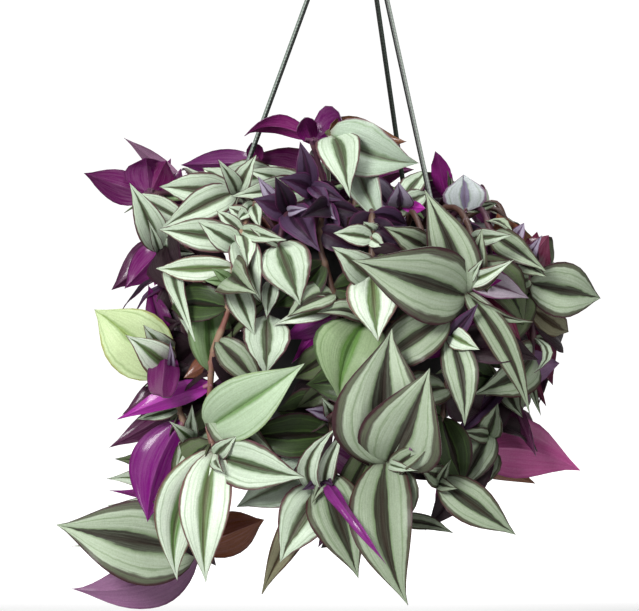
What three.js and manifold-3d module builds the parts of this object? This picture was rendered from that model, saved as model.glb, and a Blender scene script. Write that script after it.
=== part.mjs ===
// A silver inch plant (Tradescantia zebrina) in a round hanging pot, with its three-rod hanger and hook.
// Millimetres, +Z up. The origin is the hanging point, at the top of the hook's inside.
import * as THREE from "three";
import { mergeVertices } from "three/addons/utils/BufferGeometryUtils.js";
import Module from "manifold-3d";

const wasm = await Module();
wasm.setup();

// Driving dimensions
const apexBelowHook = 40; // where the rods' lines meet, below the hanging point
const rimBelowApex = 214;
const gap = 0.35; // between touching pieces

const pot = {
  flangeRadius: 86,
  wallRadius: 74,
  baseRadius: 57,
  height: 116,
  wall: 1.8,
  flange: 2,
  lipDrop: 9,
  drainRadius: 4.5,
  drainRing: 34,
  sides: 26,
};
const soil = { edgeBelowRim: 17, moundHeight: 4, holeRadius: 3, holeSides: 6 };
const rod = { radius: 1.5, sides: 8, ballRadius: 2.4, rimRadius: 79, turn: 185, topBelowApex: 9 };
const collar = { bottomRadius: 11, topRadius: 5, height: 20, belowApex: 2 };
const crook = { radius: 13.2, wire: 2.2, from: -40, to: 205, sides: 7, steps: 19 };
const stem = { radius: 1.8, sides: 4, step: 18, rootDepth: 38 };
const blade = { rows: 4, shortRows: 3, shortLength: 34, thickness: 1.4, cup: 0.26, arch: 0.11 };
const spacing = { sunk: 0.6, clearance: 0.4, spread: 0.08, free: 0.2 }; // how leaves are set on the stems

const rimHeight = -apexBelowHook - rimBelowApex;

// The front stems are laid out as an eye in front of the plant sees them. An [x, y, z] point gives the
// place across and above the rim's centre where the line of sight crosses the hanger's plane, and the true
// depth y, which is negative towards the eye. A leaf is
// [place along the way, tip x, y, z, width, turn about its length, arch, sideways bow], with arch and bow
// in millimetres. Turn 0 shows the upper face to the eye and 180 the underside.
const eye = new THREE.Vector3(-22, -1600, 64);

const frontStems = [
  {
    root: [-40, -24], // upper left, silver leaves round one shoot
    way: [[-50, -36, 6], [-62, -54, 16], [-75, -68, 20]],
    leaves: [
      [2, -118, -66, 23, 19, 0],
      [2, -117, -84, -2, 18, 10],
      [2, -83, -86, 39, 10, 20],
      [2, -60, -76, 42, 12, -15],
      [1.6, -92, -56, 34, 14, 0],
    ],
  },
  {
    root: [-54, -14], // left edge, above the purple undersides
    way: [[-66, -20, 6], [-84, -24, 12], [-102, -32, 2], [-118, -38, -16]],
    leaves: [
      [2, -134, -22, 19, 13, 0],
      [3, -136, -54, 25, 17, 0],
      [3, -97, -60, -17, 12, 0],
      [3, -147, -30, -39, 21, 180],
      [3, -139, -48, -38, 18, 180],
      [3, -121, -58, -36, 11, 180],
    ],
    extra: 1,
  },
  {
    root: [-46, 6], // far upper left, seen from below
    way: [[-58, 6, 6], [-78, 10, 15], [-96, 6, 21], [-110, 0, 20], [-124, -4, 18]],
    leaves: [
      [4, -163, -16, 31, 19, 190],
      [2.4, -139, 4, 52, 10, 180],
      [4.7, -124, 16, 42, 24, 180, 4],
      [4.2, -111, 22, 40, 18, 180, 4],
    ],
  },
  {
    root: [-24, -26], // pale leaves left of the dark shoots
    way: [[-26, -34, 2], [-31, -44, 24]],
    leaves: [
      [1, -67, -52, 33, 14, 0],
      [1, -75, -64, 17, 16, 0],
      [1, -53, -50, 36, 14, 0],
    ],
  },
  {
    root: [-22, 12], // behind the left rod
    way: [[-34, 14, 8], [-50, 14, 30], [-60, 14, 38]],
    leaves: [
      [2, -105, 2, 36, 16, 180],
      [2, -63, 4, 49, 10, 180],
      [1, -88, 24, 26, 20, 0],
    ],
  },
  {
    root: [-10, -4], // the topmost shoot, arching purple
    way: [[-14, -6, 6], [-22, -10, 34], [-27, -13, 52]],
    leaves: [
      [2, -67, -26, 53, 13, 145, 11],
      [2, -9, -34, 62, 24, 180, 8],
      [2, -31, -32, 64, 12, 190],
    ],
  },
  {
    root: [8, -8], // top, large pale leaves
    way: [[8, -14, 8], [-1, -26, 36], [-18, -34, 56]],
    leaves: [
      [1.9, 37, -44, 37, 31, -15, 6, -5],
      [1.2, 16, -58, -3, 20, 0],
      [0.6, 30, -50, 2, 18, 0],
      [2, -4, -70, 16, 24, 0, 8, 2],
      [2, 29, -2, 50, 15, 180],
      [2, 8, 4, 64, 11, 170],
    ],
  },
  {
    root: [-22, -38], // dark purple shoot
    way: [[-24, -48, 6], [-28, -62, 23]],
    leaves: [
      [1, -34, -68, 50, 12, 0],
      [1, -47, -74, 28, 14, 20],
      [1, -10, -54, 20, 13, 0],
      [0.8, -20, -78, 6, 11, 0],
    ],
  },
  {
    root: [-8, -40], // dark purple shoot, low
    way: [[-13, -50, 6], [-17, -67, 12]],
    leaves: [
      [1, -34, -82, 4, 12, 0],
      [1, -5, -84, -5, 12, 0],
    ],
  },
  {
    root: [-34, -42], // dark rosette, with silver leaves lower down its stem
    way: [[-36, -52, 4], [-41, -78, 8], [-47, -92, -12], [-51, -92, -34], [-54, -94, -56]],
    leaves: [
      [1, -49, -88, 29, 12, 10],
      [1, -62, -88, 16, 15, 0],
      [1.4, -44, -84, -9, 13, 0],
      [1, -22, -98, -16, 18, 0],
      [2, -34, -108, -48, 28, 0],
      [3, -54, -104, -56, 10, 0],
      [4, -55, -102, -90, 25, 0],
    ],
    extra: 2,
  },
  {
    root: [-46, -34], // the long pink stem at the left
    way: [
      [-50, -44, 4],
      [-62, -68, 12],
      [-71, -90, -12],
      [-75, -94, -34],
      [-78, -94, -54],
      [-86, -90, -76],
      [-88, -86, -96],
      [-89, -86, -122],
      [-84, -92, -141],
    ],
    leaves: [
      [2, -95, -100, 2, 15, 0],
      [2, -118, -70, -3, 18, 0],
      [2, -57, -110, -46, 17, 0],
      [2.2, -58, -102, -46, 10, 20],
      [2, -66, -112, -27, 12, -20],
      [2, -42, -106, -9, 10, 0],
      [3, -61, -104, -67, 15, 0],
      [2.6, -120, -78, -26, 14, 0],
      [5.6, -88, -68, -37, 23, 0],
      [5.3, -104, -82, -92, 12, 180],
      [6, -144, -74, -117, 13, 170],
      [7, -31, -112, -83, 31, 0, 8],
      [8, -31, -108, -152, 26, 0],
      [8, -72, -104, -127, 10, 0],
      [8, -91, -106, -216, 27, 0, 10, -4],
      [8, -108, -94, -215, 27, 0, 8, -10],
    ],
    extra: 6,
  },
  {
    root: [-50, -20], // the long outer stem at the left
    way: [
      [-60, -26, 6],
      [-78, -40, 10],
      [-98, -48, -8],
      [-110, -50, -30],
      [-115, -54, -60],
      [-112, -60, -88],
      [-107, -58, -110],
      [-100, -62, -129],
      [-96, -64, -153],
      [-96, -62, -178],
      [-97, -60, -199],
    ],
    leaves: [
      [2.2, -82, -34, -38, 26, 0],
      [3, -98, -74, -73, 11, 0],
      [4.5, -125, -50, -36, 14, 0],
      [5, -157, -42, -51, 36, 0],
      [5, -139, -84, -66, 19, 0],
      [4.6, -128, -72, -60, 15, 0],
      [4.6, -116, -96, -103, 17, 180],
      [5.4, -141, -52, -114, 18, 180],
      [6, -149, -46, -134, 15, 180],
      [6.4, -126, -88, -179, 31, 180, 6, 6],
      [8, -151, -60, -153, 15, 0],
      [8.8, -150, -56, -169, 15, 0],
      [7, -66, -56, -112, 24, 0],
      [4, -130, -40, -70, 24, 180],
      [7.5, -146, -50, -141, 16, 0],
      [10, -181, -70, -181, 45, 0, 8],
      [10, -172, -50, -220, 30, 180, 6, -9],
      [10, -56, -74, -178, 24, 180],
    ],
    extra: 7,
  },
  {
    root: [-10, -54], // the brown stem in the middle
    way: [
      [-13, -62, 1],
      [-20, -84, 6],
      [-22, -95, -12],
      [-17, -97, -30],
      [-11, -95, -54],
      [-12, -88, -88],
      [-16, -84, -126],
      [-19, -88, -168],
    ],
    leaves: [
      [4, -45, -92, -69, 14, 180],
      [4, -39, -88, -83, 11, 180],
      [3.8, -50, -102, -60, 10, 0],
      [6, -70, -86, -127, 24, 0],
      [4.6, -38, -78, -92, 18, 0],
      [5.2, -36, -84, -110, 12, 0],
      [7, -10, -112, -120, 12, 0, 5, 14],
      [7, -6, -106, -122, 10, 0, 4, 4],
      [7, -46, -104, -204, 28, 0, 6, -3],
      [6.7, 18, -124, -205, 10, 160, 7],
      [7, 1, -96, -213, 30, 0],
      [7, -57, -78, -223, 17, 0],
      [6.8, -72, -80, -170, 26, 0],
      [6.8, -74, -70, -158, 12, 180],
      [3.4, 20, -86, -36, 24, 0],
      [2.6, -50, -86, -50, 22, 0],
      [5.6, -48, -84, -112, 24, 0],
    ],
    extra: 6,
  },
  {
    root: [8, -46], // the middle stem, with the largest leaves
    way: [
      [8, -56, 2],
      [9, -82, 8],
      [9, -98, -8],
      [9, -101, -32],
      [5, -97, -58],
      [6, -91, -92],
      [9, -90, -126],
      [19, -97, -144],
      [22, -92, -162],
      [22, -86, -180],
    ],
    leaves: [
      [2, -14, -102, -5, 12, 10],
      [1.8, 4, -100, 2, 10, 0],
      [3, -15, -114, -13, 18, 0],
      [3, 13, -118, -70, 28, 0],
      [4, -10, -108, -106, 38, 0, 7, -4],
      [7, 21, -118, -62, 52, 0, 8, 3],
      [7, 44, -130, -86, 44, 0, 8, -3],
      [7, 31, -114, -229, 34, 0, 8, -5],
      [7, 21, -122, -190, 10, 0, 4, 12],
      [7.3, 50, -118, -128, 12, -20],
      [9, 58, -84, -186, 10, -30],
      [2.6, 44, -86, -34, 24, 0],
      [5, -30, -84, -96, 24, 0],
    ],
    extra: 6,
  },
  {
    root: [22, -32], // lilac shoot beside the front rod
    way: [[24, -42, 6], [26, -60, 12]],
    leaves: [
      [1, 25, -76, 26, 15, 0],
      [1, 43, -50, 19, 12, 0],
      [0.8, 42, -44, 33, 13, -20],
      [1, 18, -76, 1, 12, 0],
    ],
  },
  {
    root: [42, -14], // upper right
    way: [[46, -18, 6], [54, -26, 16], [66, -42, 8]],
    leaves: [
      [1, 47, -44, 44, 11, 180],
      [2, 64, -38, 30, 24, 0],
    ],
  },
  {
    root: [36, -34], // right of the middle, with two large leaves
    way: [[44, -42, 6], [60, -60, 10], [69, -80, -8], [67, -88, -28], [65, -90, -43]],
    leaves: [
      [4, -3, -124, -21, 40, 0, 8],
      [4, 40, -112, 22, 26, 0, 8, -2],
      [3.6, 75, -104, -2, 16, 0],
      [3.4, 92, -102, -21, 15, 0],
      [4, 104, -98, -113, 15, 0, 6, 5],
      [3.8, 102, -84, -80, 19, 180],
      [3.4, 103, -88, -44, 16, -20],
    ],
    extra: 3,
  },
  {
    root: [50, -24], // right edge
    way: [
      [58, -30, 6],
      [74, -42, 10],
      [82, -54, -6],
      [100, -58, -24],
      [104, -54, -46],
      [106, -52, -68],
      [103, -52, -87],
    ],
    leaves: [
      [2, 114, -84, -28, 15, 0],
      [2.6, 84, -50, 7, 20, 180],
      [3, 115, -50, -6, 24, 180],
      [3, 114, -78, -31, 11, 0],
      [3.5, 146, -44, -44, 30, 0],
      [4.2, 127, -34, -64, 15, 0],
      [6, 122, -46, -83, 18, 180],
    ],
    extra: 4,
  },
  {
    root: [28, -44], // right of the middle, lower
    way: [
      [31, -56, 2],
      [34, -82, 7],
      [43, -95, -14],
      [52, -98, -40],
      [56, -94, -68],
      [54, -88, -98],
      [50, -86, -128],
      [50, -90, -156],
    ],
    leaves: [
      [2, 16, -108, -1, 15, 0],
      [4, 65, -110, -121, 19, 0, 6, 3],
      [4, 74, -106, -75, 12, 0],
      [4, 31, -98, -79, 18, 180],
      [3.8, 19, -92, -58, 11, 0],
      [7, 96, -98, -187, 22, 0],
      [7, 38, -102, -147, 13, 0],
      [5.6, 64, -84, -158, 22, 0],
      [3.4, 22, -84, -58, 24, 0],
      [4.6, 84, -84, -92, 22, 0],
      [5.6, 26, -80, -116, 22, 0],
    ],
    extra: 6,
  },
  {
    root: [58, -6], // the long outer stem at the right
    way: [
      [68, -6, 6],
      [84, -12, 9],
      [98, -20, -14],
      [102, -26, -46],
      [95, -36, -78],
      [89, -48, -97],
      [79, -64, -127],
      [81, -66, -136],
    ],
    leaves: [
      [5, 100, -64, -116, 12, 0],
      [5, 54, -82, -133, 10, 0],
      [5, 75, -62, -104, 12, 0],
      [3, 118, -40, -96, 20, 180],
      [4, 64, -50, -62, 22, 0],
      [6, 85, -78, -107, 14, 0],
      [6, 60, -90, -163, 20, 0],
      [7, 74, -72, -160, 16, 0],
      [7, 135, -42, -148, 33, 180, 6, -4],
      [7, 108, -28, -156, 19, 180, 4, 4],
    ],
    extra: 6,
  },
];

// The stems at the sides and the back follow a rule: [compass angle, root radius, how far out they hang,
// how far they drop below the rim, leaves]. Angle 0 is the right side and 90 the back. A negative drop
// stands up above the soil.
const aroundStems = [
  [4, 60, 98, 150, 9],
  [24, 50, 96, 88, 7],
  [42, 62, 104, 176, 9],
  [60, 48, 104, 66, 6],
  [76, 60, 112, 150, 9],
  [94, 50, 112, 190, 9],
  [111, 62, 108, 96, 7],
  [128, 48, 114, 165, 9],
  [146, 60, 112, 76, 7],
  [163, 50, 114, 170, 9],
  [178, 60, 108, 120, 8],
  [92, 34, 52, -20, 4],
  [130, 24, 34, -28, 4],
];

// The plant's outline as the eye sees it, [x, z] on the hanger's plane: leaves placed by rule stay inside it
const outline = [
  [-160, 30], [-136, 48], [-114, 38], [-96, 44], [-70, 44], [-56, 52], [-60, 64], [-20, 68], [0, 66],
  [28, 48], [48, 42], [66, 28], [78, 8], [98, 2], [116, -10], [124, -24], [144, -44], [124, -64],
  [118, -82], [110, -100], [116, -128], [130, -148], [98, -158], [92, -184], [60, -182], [32, -224],
  [14, -208], [-28, -200], [-52, -218], [-58, -190], [-84, -212], [-108, -226], [-166, -216], [-176, -182],
  [-146, -164], [-148, -130], [-150, -86], [-154, -54], [-144, -38], [-146, -20], [-136, -2],
];
// The ruled leaves: their lengths, and their widths as shares of those
const around = { lengths: [46, 72], slimness: [0.4, 0.5] };

// How a leaf is moved when it would cross another piece: its tip goes this far towards the side that its
// face looks to, the leaf turns by some degrees, and its length is scaled.
const tries = [
  [0, 0, 1],
  [5, 0, 1],
  [-5, 0, 1],
  [10, 0, 1],
  [-10, 0, 1],
  [16, 8, 1],
  [-16, -8, 1],
  [22, 0, 1],
  [-22, 0, 1],
  [3, 25, 1],
  [-3, -25, 1],
  [30, 0, 1],
  [-30, 0, 1],
  [8, -30, 1],
  [-8, 30, 1],
  [38, 0, 1],
  [12, 30, 0.92],
  [-12, -30, 0.92],
  [24, -15, 0.9],
  [-24, 15, 0.9],
  [4, 45, 0.85],
  [-4, -45, 0.85],
  [18, 20, 0.8],
  [-18, -20, 0.8],
  [34, 10, 0.75],
  [-34, -10, 0.75],
  [6, -60, 0.7],
  [-6, 60, 0.7],
];

const up = new THREE.Vector3(0, 0, 1);

// A closed mesh as a solid that can be joined and cut
function solid(geometry) {
  const bare = geometry.index ? geometry.clone() : geometry;
  for (const name of Object.keys(bare.attributes)) {
    if (name !== "position") bare.deleteAttribute(name);
  }
  const merged = mergeVertices(bare, 1e-4);
  const corners = merged.index.array;
  const kept = [];
  for (let i = 0; i < corners.length; i += 3) {
    const [a, b, c] = corners.slice(i, i + 3);
    if (a !== b && b !== c && c !== a) kept.push(a, b, c);
  }
  return new wasm.Manifold(
    new wasm.Mesh({
      numProp: 3,
      vertProperties: merged.attributes.position.array,
      triVerts: new Uint32Array(kept),
    }),
  );
}

function geometryOf(body) {
  const mesh = body.getMesh();
  const geometry = new THREE.BufferGeometry();
  geometry.setAttribute("position", new THREE.BufferAttribute(mesh.vertProperties, 3));
  geometry.setIndex(new THREE.BufferAttribute(mesh.triVerts, 1));
  geometry.computeVertexNormals();
  return geometry;
}

// A profile of [radius, height] points turned about +Z
function turned(profile, sides) {
  const points = profile.map(([radius, height]) => new THREE.Vector2(radius, height));
  return new THREE.LatheGeometry(points, sides).rotateX(Math.PI / 2);
}

// A tube with flat ends along a curve
function tube(curve, radius, sides, steps) {
  const section = new THREE.Shape();
  for (let i = 0; i < sides; i++) {
    const angle = (i / sides) * 2 * Math.PI;
    const x = radius * Math.cos(angle);
    const y = radius * Math.sin(angle);
    if (i === 0) section.moveTo(x, y);
    else section.lineTo(x, y);
  }
  section.closePath();
  return new THREE.ExtrudeGeometry(section, { steps, extrudePath: curve, bevelEnabled: false });
}

// Draws from 0 to 1 that are the same each time for one seed
function drawsFrom(seed) {
  let state = seed;
  const draw = () => {
    state = (state * 16807) % 2147483647;
    return state / 2147483647;
  };
  draw();
  draw();
  return draw;
}

function seen([x, y, z]) {
  const nearer = (y - eye.y) / -eye.y;
  return new THREE.Vector3(eye.x + (x - eye.x) * nearer, y, eye.z + (z - eye.z) * nearer);
}

// Leaves of one joint start a little apart along the stem, and none at its very end
function freeSpot(taken, along, last) {
  let spot = Math.min(along, last - 0.06);
  while (taken.some((other) => Math.abs(other - spot) < spacing.spread * 0.9)) spot -= spacing.spread;
  taken.push(spot);
  return spot;
}

function insideOutline(point) {
  const further = -eye.y / (point.y - eye.y);
  const x = eye.x + (point.x - eye.x) * further;
  const z = eye.z + (point.z - eye.z) * further;
  let inside = false;
  outline.forEach(([x1, z1], i) => {
    const [x2, z2] = outline[(i + 1) % outline.length];
    if (z1 > z !== z2 > z && x < x1 + ((x2 - x1) * (z - z1)) / (z2 - z1)) inside = !inside;
  });
  return inside;
}

// The nearest point on a stem's straight pieces, so that a leaf's foot lies inside the tube
function footOn(spots, point) {
  const feet = spots.slice(1).map((end, i) => {
    const piece = new THREE.Line3(spots[i], end);
    return piece.closestPointToPoint(point, true, new THREE.Vector3());
  });
  return feet.sort((a, b) => a.distanceTo(point) - b.distanceTo(point))[0];
}

function stemCurve([rootX, rootY], way) {
  const rooted = [-stem.rootDepth, -24, -8].map((z) => new THREE.Vector3(rootX, rootY, z));
  return new THREE.CatmullRomCurve3([...rooted, ...way], false, "catmullrom", 0.5);
}

// The point of a stem at a place counted in points of its way
function placeOn(curve, along) {
  return curve.getPoint((3 + along) / (curve.points.length - 1));
}

// Half the blade's width at a share of its length: rounded at the base, widest before the middle, pointed
function halfWidth(width, share) {
  return (width / 2) * Math.sin(Math.PI * Math.min(share, 1) ** 0.72) ** 0.85;
}

// The axes of a leaf: along it, across it, and out of its upper face
function axesOf(leaf) {
  const along = leaf.tip.clone().sub(leaf.base);
  const length = along.length();
  along.normalize();
  const towards = leaf.facing.clone().addScaledVector(along, -leaf.facing.dot(along)).normalize();
  const side = along.clone().cross(towards);
  const turn = (leaf.turn * Math.PI) / 180;
  const out = towards.multiplyScalar(Math.cos(turn)).addScaledVector(side, Math.sin(turn));
  return { along, length, out, across: out.clone().cross(along) };
}

// Points at a leaf's tip and at its widest, on both edges
function marksOf(leaf) {
  const { across } = axesOf(leaf);
  const widest = leaf.base.clone().lerp(leaf.tip, 0.4);
  const edges = [-0.45, 0.45].map((share) => widest.clone().addScaledVector(across, share * leaf.width));
  return [leaf.tip, leaf.base.clone().lerp(leaf.tip, 0.7), ...edges];
}

// A leaf as a thin closed blade, thick along its midrib and sharp at its edge, from a share of its length
function bladeSolid(leaf, grow = 0, fromShare = 0) {
  const { along, length, out, across } = axesOf(leaf);
  const faces = [1, -1].map((face) => {
    const rows = length < blade.shortLength || leaf.ruled ? blade.shortRows : blade.rows;
    const sheet = new THREE.PlaneGeometry(2, 1, 2, rows);
    const place = sheet.attributes.position;
    for (let i = 0; i < place.count; i++) {
      const row = 0.5 - place.getY(i);
      const share = fromShare + (1 - fromShare) * row ** 1.3;
      const edge = place.getX(i);
      const inside = row > 0.001 && row < 0.999 ? 1 : 0;
      const half = inside * (halfWidth(leaf.width, share) + grow);
      const hump = 4 * share * (1 - share);
      const thick = inside * face * (1 - Math.abs(edge)) * (blade.thickness / 2 + grow);
      const point = leaf.base.clone();
      point.addScaledVector(along, length * share - (1 - row) * (1 - fromShare) * spacing.sunk);
      point.addScaledVector(across, edge * half + leaf.bow * hump);
      point.addScaledVector(out, leaf.arch * hump + blade.cup * half * Math.abs(edge) + thick);
      place.setXYZ(i, point.x, point.y, point.z);
    }
    if (face < 0) {
      const turns = sheet.index.array;
      for (let i = 0; i < turns.length; i += 3) {
        [turns[i + 1], turns[i + 2]] = [turns[i + 2], turns[i + 1]];
      }
    }
    return sheet;
  });
  const both = new THREE.BufferGeometry();
  const count = faces[0].attributes.position.count;
  const points = new Float32Array(count * 6);
  points.set(faces[0].attributes.position.array);
  points.set(faces[1].attributes.position.array, count * 3);
  both.setAttribute("position", new THREE.BufferAttribute(points, 3));
  both.setIndex([...faces[0].index.array, ...Array.from(faces[1].index.array, (i) => i + count)]);
  return solid(both);
}

function boxesMeet(a, b) {
  return [0, 1, 2].every((i) => a.min[i] <= b.max[i] && b.min[i] <= a.max[i]);
}

function cross(a, b) {
  return boxesMeet(a.box, b.box) && !a.body.intersect(b.body).isEmpty();
}

function withBox(body, owner, base) {
  return { body, owner, base, box: body.boundingBox() };
}

// Pot, with its flange for the hanger and holes in its floor
function rodDirection(index) {
  const angle = ((rod.turn + index * 120) * Math.PI) / 180;
  return { x: Math.cos(angle), y: Math.sin(angle) };
}

// A rod's line from below the flange up to the apex
function rodLine(index, topBelowApex, bottomBelowRim) {
  const { x, y } = rodDirection(index);
  const slope = rod.rimRadius / rimBelowApex;
  const at = (belowApex) =>
    new THREE.Vector3(x * slope * belowApex, y * slope * belowApex, rimBelowApex - belowApex);
  return [at(rimBelowApex + bottomBelowRim), at(topBelowApex)];
}

function cylinderBetween(low, high, radius, sides) {
  const length = low.distanceTo(high);
  const shape = new THREE.CylinderGeometry(radius, radius, length, sides);
  const turnTo = new THREE.Quaternion().setFromUnitVectors(
    new THREE.Vector3(0, 1, 0),
    high.clone().sub(low).normalize(),
  );
  shape.applyQuaternion(turnTo);
  const middle = low.clone().add(high).divideScalar(2);
  return shape.translate(middle.x, middle.y, middle.z);
}

function makePot() {
  const inner = pot.wallRadius - pot.wall;
  const shell = turned(
    [
      [0, -pot.height],
      [pot.baseRadius, -pot.height],
      [pot.wallRadius, -pot.lipDrop],
      [pot.wallRadius, -pot.flange],
      [pot.flangeRadius - pot.wall, -pot.flange],
      [pot.flangeRadius - pot.wall, -pot.lipDrop],
      [pot.flangeRadius, -pot.lipDrop],
      [pot.flangeRadius, 0],
      [inner, 0],
      [inner, -pot.lipDrop],
      [pot.baseRadius - pot.wall, -pot.height + pot.wall],
      [0, -pot.height + pot.wall],
    ],
    pot.sides,
  );
  let body = solid(shell);
  for (let i = 0; i < 3; i++) {
    const [low, high] = rodLine(i, rimBelowApex - 6, 6);
    body = body.subtract(solid(cylinderBetween(low, high, rod.radius + gap, 12)));
  }
  for (let i = 0; i < 5; i++) {
    const angle = (i / 5) * 2 * Math.PI;
    const drain = new THREE.CylinderGeometry(pot.drainRadius, pot.drainRadius, 8, 10);
    drain.rotateX(Math.PI / 2);
    const x = pot.drainRing * Math.cos(angle);
    const y = pot.drainRing * Math.sin(angle);
    drain.translate(x, y, -pot.height);
    body = body.subtract(solid(drain));
  }
  return body;
}

function makeSoil(roots) {
  const low = -pot.height + pot.wall + gap;
  const slant = (pot.wallRadius - pot.baseRadius) / (pot.height - pot.lipDrop);
  const radiusAt = (z) => pot.wallRadius - pot.wall - gap * 2 + slant * (z + pot.lipDrop);
  const edge = -soil.edgeBelowRim;
  let body = solid(
    turned(
      [
        [0, low],
        [radiusAt(low), low],
        [radiusAt(edge), edge],
        [radiusAt(edge) / 2, edge + soil.moundHeight * 0.7],
        [0, edge + soil.moundHeight],
      ],
      pot.sides,
    ),
  );
  for (const [x, y] of roots) {
    const { holeRadius, holeSides } = soil;
    const hole = new THREE.CylinderGeometry(holeRadius, holeRadius, stem.rootDepth, holeSides);
    hole.rotateX(Math.PI / 2);
    hole.translate(x, y, -stem.rootDepth / 2 - gap);
    body = body.subtract(solid(hole));
  }
  return body;
}

function makeRod(index) {
  const [low, high] = rodLine(index, rod.topBelowApex, pot.flange + rod.ballRadius + gap);
  const shaft = solid(cylinderBetween(low, high, rod.radius, rod.sides));
  const ball = new THREE.SphereGeometry(rod.ballRadius, 8, 6);
  ball.rotateX(Math.PI / 2);
  ball.translate(low.x, low.y, low.z);
  return shaft.add(solid(ball));
}

// Collar with three sockets, and the crook in one piece with it
function makeHook() {
  const top = rimBelowApex - collar.belowApex;
  const bottom = top - collar.height;
  const cone = turned(
    [
      [0, bottom],
      [collar.bottomRadius, bottom],
      [collar.bottomRadius, bottom + 4],
      [collar.topRadius, top - 2],
      [collar.topRadius - 1.5, top],
      [0, top],
    ],
    15,
  );
  const centre = rimBelowApex + apexBelowHook - (crook.radius - crook.wire);
  const points = [
    new THREE.Vector3(0, 0, top - 5),
    new THREE.Vector3(0, 0, top + 3),
    new THREE.Vector3(3.2, 0, top + 9),
  ];
  const count = 9;
  for (let i = 0; i <= count; i++) {
    const angle = ((crook.from + ((crook.to - crook.from) * i) / count) * Math.PI) / 180;
    const x = crook.radius * Math.cos(angle);
    const z = centre + crook.radius * Math.sin(angle);
    points.push(new THREE.Vector3(x, 0, z));
  }
  const wire = tube(new THREE.CatmullRomCurve3(points), crook.wire, crook.sides, crook.steps);
  let body = solid(cone).add(solid(wire));
  for (let i = 0; i < 3; i++) {
    const [low, high] = rodLine(i, rod.topBelowApex - gap, collar.height + 12 - rimBelowApex);
    body = body.subtract(solid(cylinderBetween(low, high, rod.radius + gap, 12)));
  }
  return body;
}

// The stems at the sides and the back as ways of true points
function aroundStem([angle, rootRadius, reach, drop, count], index) {
  const draw = drawsFrom(7001 + 97 * index);
  const radians = (angle * Math.PI) / 180;
  const sway = () => (draw() - 0.5) * 14;
  const at = (radius, z, aside) =>
    new THREE.Vector3(
      radius * Math.cos(radians) - aside * Math.sin(radians),
      radius * Math.sin(radians) + aside * Math.cos(radians),
      z,
    );
  const root = [rootRadius * Math.cos(radians), rootRadius * Math.sin(radians)];
  const way = [];
  if (drop < 0) {
    way.push(at(rootRadius + 4, -drop * 0.3, 0));
    way.push(at((rootRadius + reach) / 2, -drop * 0.8, sway() / 2));
    way.push(at(reach, -drop, sway() / 2));
  } else {
    way.push(at(rootRadius + 8, 6, 0));
    way.push(at(84, 13, sway() / 4));
    way.push(at(reach * 0.92, -4, sway() / 2));
    const hanging = Math.max(1, Math.round(drop / 42));
    for (let i = 1; i <= hanging; i++) {
      const share = i / hanging;
      way.push(at(reach * (1 - 0.16 * share * share), -4 - (drop - 4) * share, sway()));
    }
  }
  return { root, way, count, seed: 40009 + 131 * index };
}

// A leaf placed by the rule: to one side of its stem, a little down and outwards, upper face out and up
function ruledLeaf(curve, along, side, size, draw, inwards) {
  const base = placeOn(curve, along);
  const ahead = placeOn(curve, along + 0.05).sub(base).normalize();
  const out = new THREE.Vector3(base.x, base.y, 0).normalize();
  const across = ahead.clone().cross(out).normalize().multiplyScalar(side);
  const heading = across.multiplyScalar(0.75 + 0.35 * draw());
  heading.addScaledVector(ahead, 0.25 + 0.5 * draw());
  heading.addScaledVector(out, inwards ? -0.1 - 0.4 * draw() : 0.15 + 0.4 * draw());
  heading.addScaledVector(up, 0.1 - 0.35 * draw());
  heading.normalize();
  const length = THREE.MathUtils.lerp(...around.lengths, draw()) * size;
  const width = length * THREE.MathUtils.lerp(...around.slimness, draw());
  const tip = base.clone().addScaledVector(heading, length);
  const facing = out.clone().addScaledVector(up, 0.7);
  const turn = (draw() - 0.5) * 50;
  return { base, tip, facing, width, turn, arch: length * 0.12, bow: 0, ruled: true };
}

function movedLeaf(leaf, [shift, turn, scale]) {
  const aside = leaf.facing.clone().normalize();
  const tip = leaf.base.clone().lerp(leaf.tip, scale).addScaledVector(aside, shift);
  return { ...leaf, tip, width: leaf.width * scale, turn: leaf.turn + turn };
}

const placed = [];

// Adds a leaf in the first position where it crosses no other piece
function place({ owner, spots }, given) {
  const leaf = { ...given, base: footOn(spots, given.base) };
  for (const step of tries) {
    const moved = movedLeaf(leaf, step);
    if (leaf.ruled && !marksOf(moved).every(insideOutline)) continue;
    const full = withBox(bladeSolid(moved, spacing.clearance), owner);
    if (placed.some((other) => other.owner !== owner && cross(full, other))) continue;
    const outer = withBox(bladeSolid(moved, 0, spacing.free), owner);
    const meets = (other) =>
      other.owner === owner && (!other.base || other.base.distanceTo(moved.base) > 1) && cross(outer, other);
    if (placed.some(meets)) continue;
    placed.push(withBox(bladeSolid(moved), owner, moved.base));
    return;
  }
}

const potBody = makePot();
const rods = [0, 1, 2].map(makeRod);
const stems = [];
for (const { root, way, leaves, extra = 0 } of frontStems) {
  const rootPoint = seen([root[0], root[1], 0]);
  const curve = stemCurve([rootPoint.x, rootPoint.y], way.map(seen));
  stems.push({ root: [rootPoint.x, rootPoint.y], curve, leaves, extra, points: way.length });
}
aroundStems.forEach((row, index) => {
  const { root, way, count, seed } = aroundStem(row, index);
  stems.push({ root, curve: stemCurve(root, way), leaves: [], count, seed, points: way.length });
});

const soilBody = makeSoil(stems.map((s) => s.root));
placed.push(withBox(potBody, "pot"), withBox(soilBody, "soil"));
rods.forEach((body, i) => placed.push(withBox(body, "rod_" + i)));
stems.forEach((s, i) => {
  s.owner = "leafy_stem_" + String(i + 1).padStart(2, "0");
  s.taken = [];
  const steps = Math.round(s.curve.getLength() / stem.step);
  s.spots = s.curve.getSpacedPoints(steps);
  s.tube = solid(tube(s.curve, stem.radius, stem.sides, steps));
  placed.push(withBox(s.tube, s.owner));
});

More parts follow.
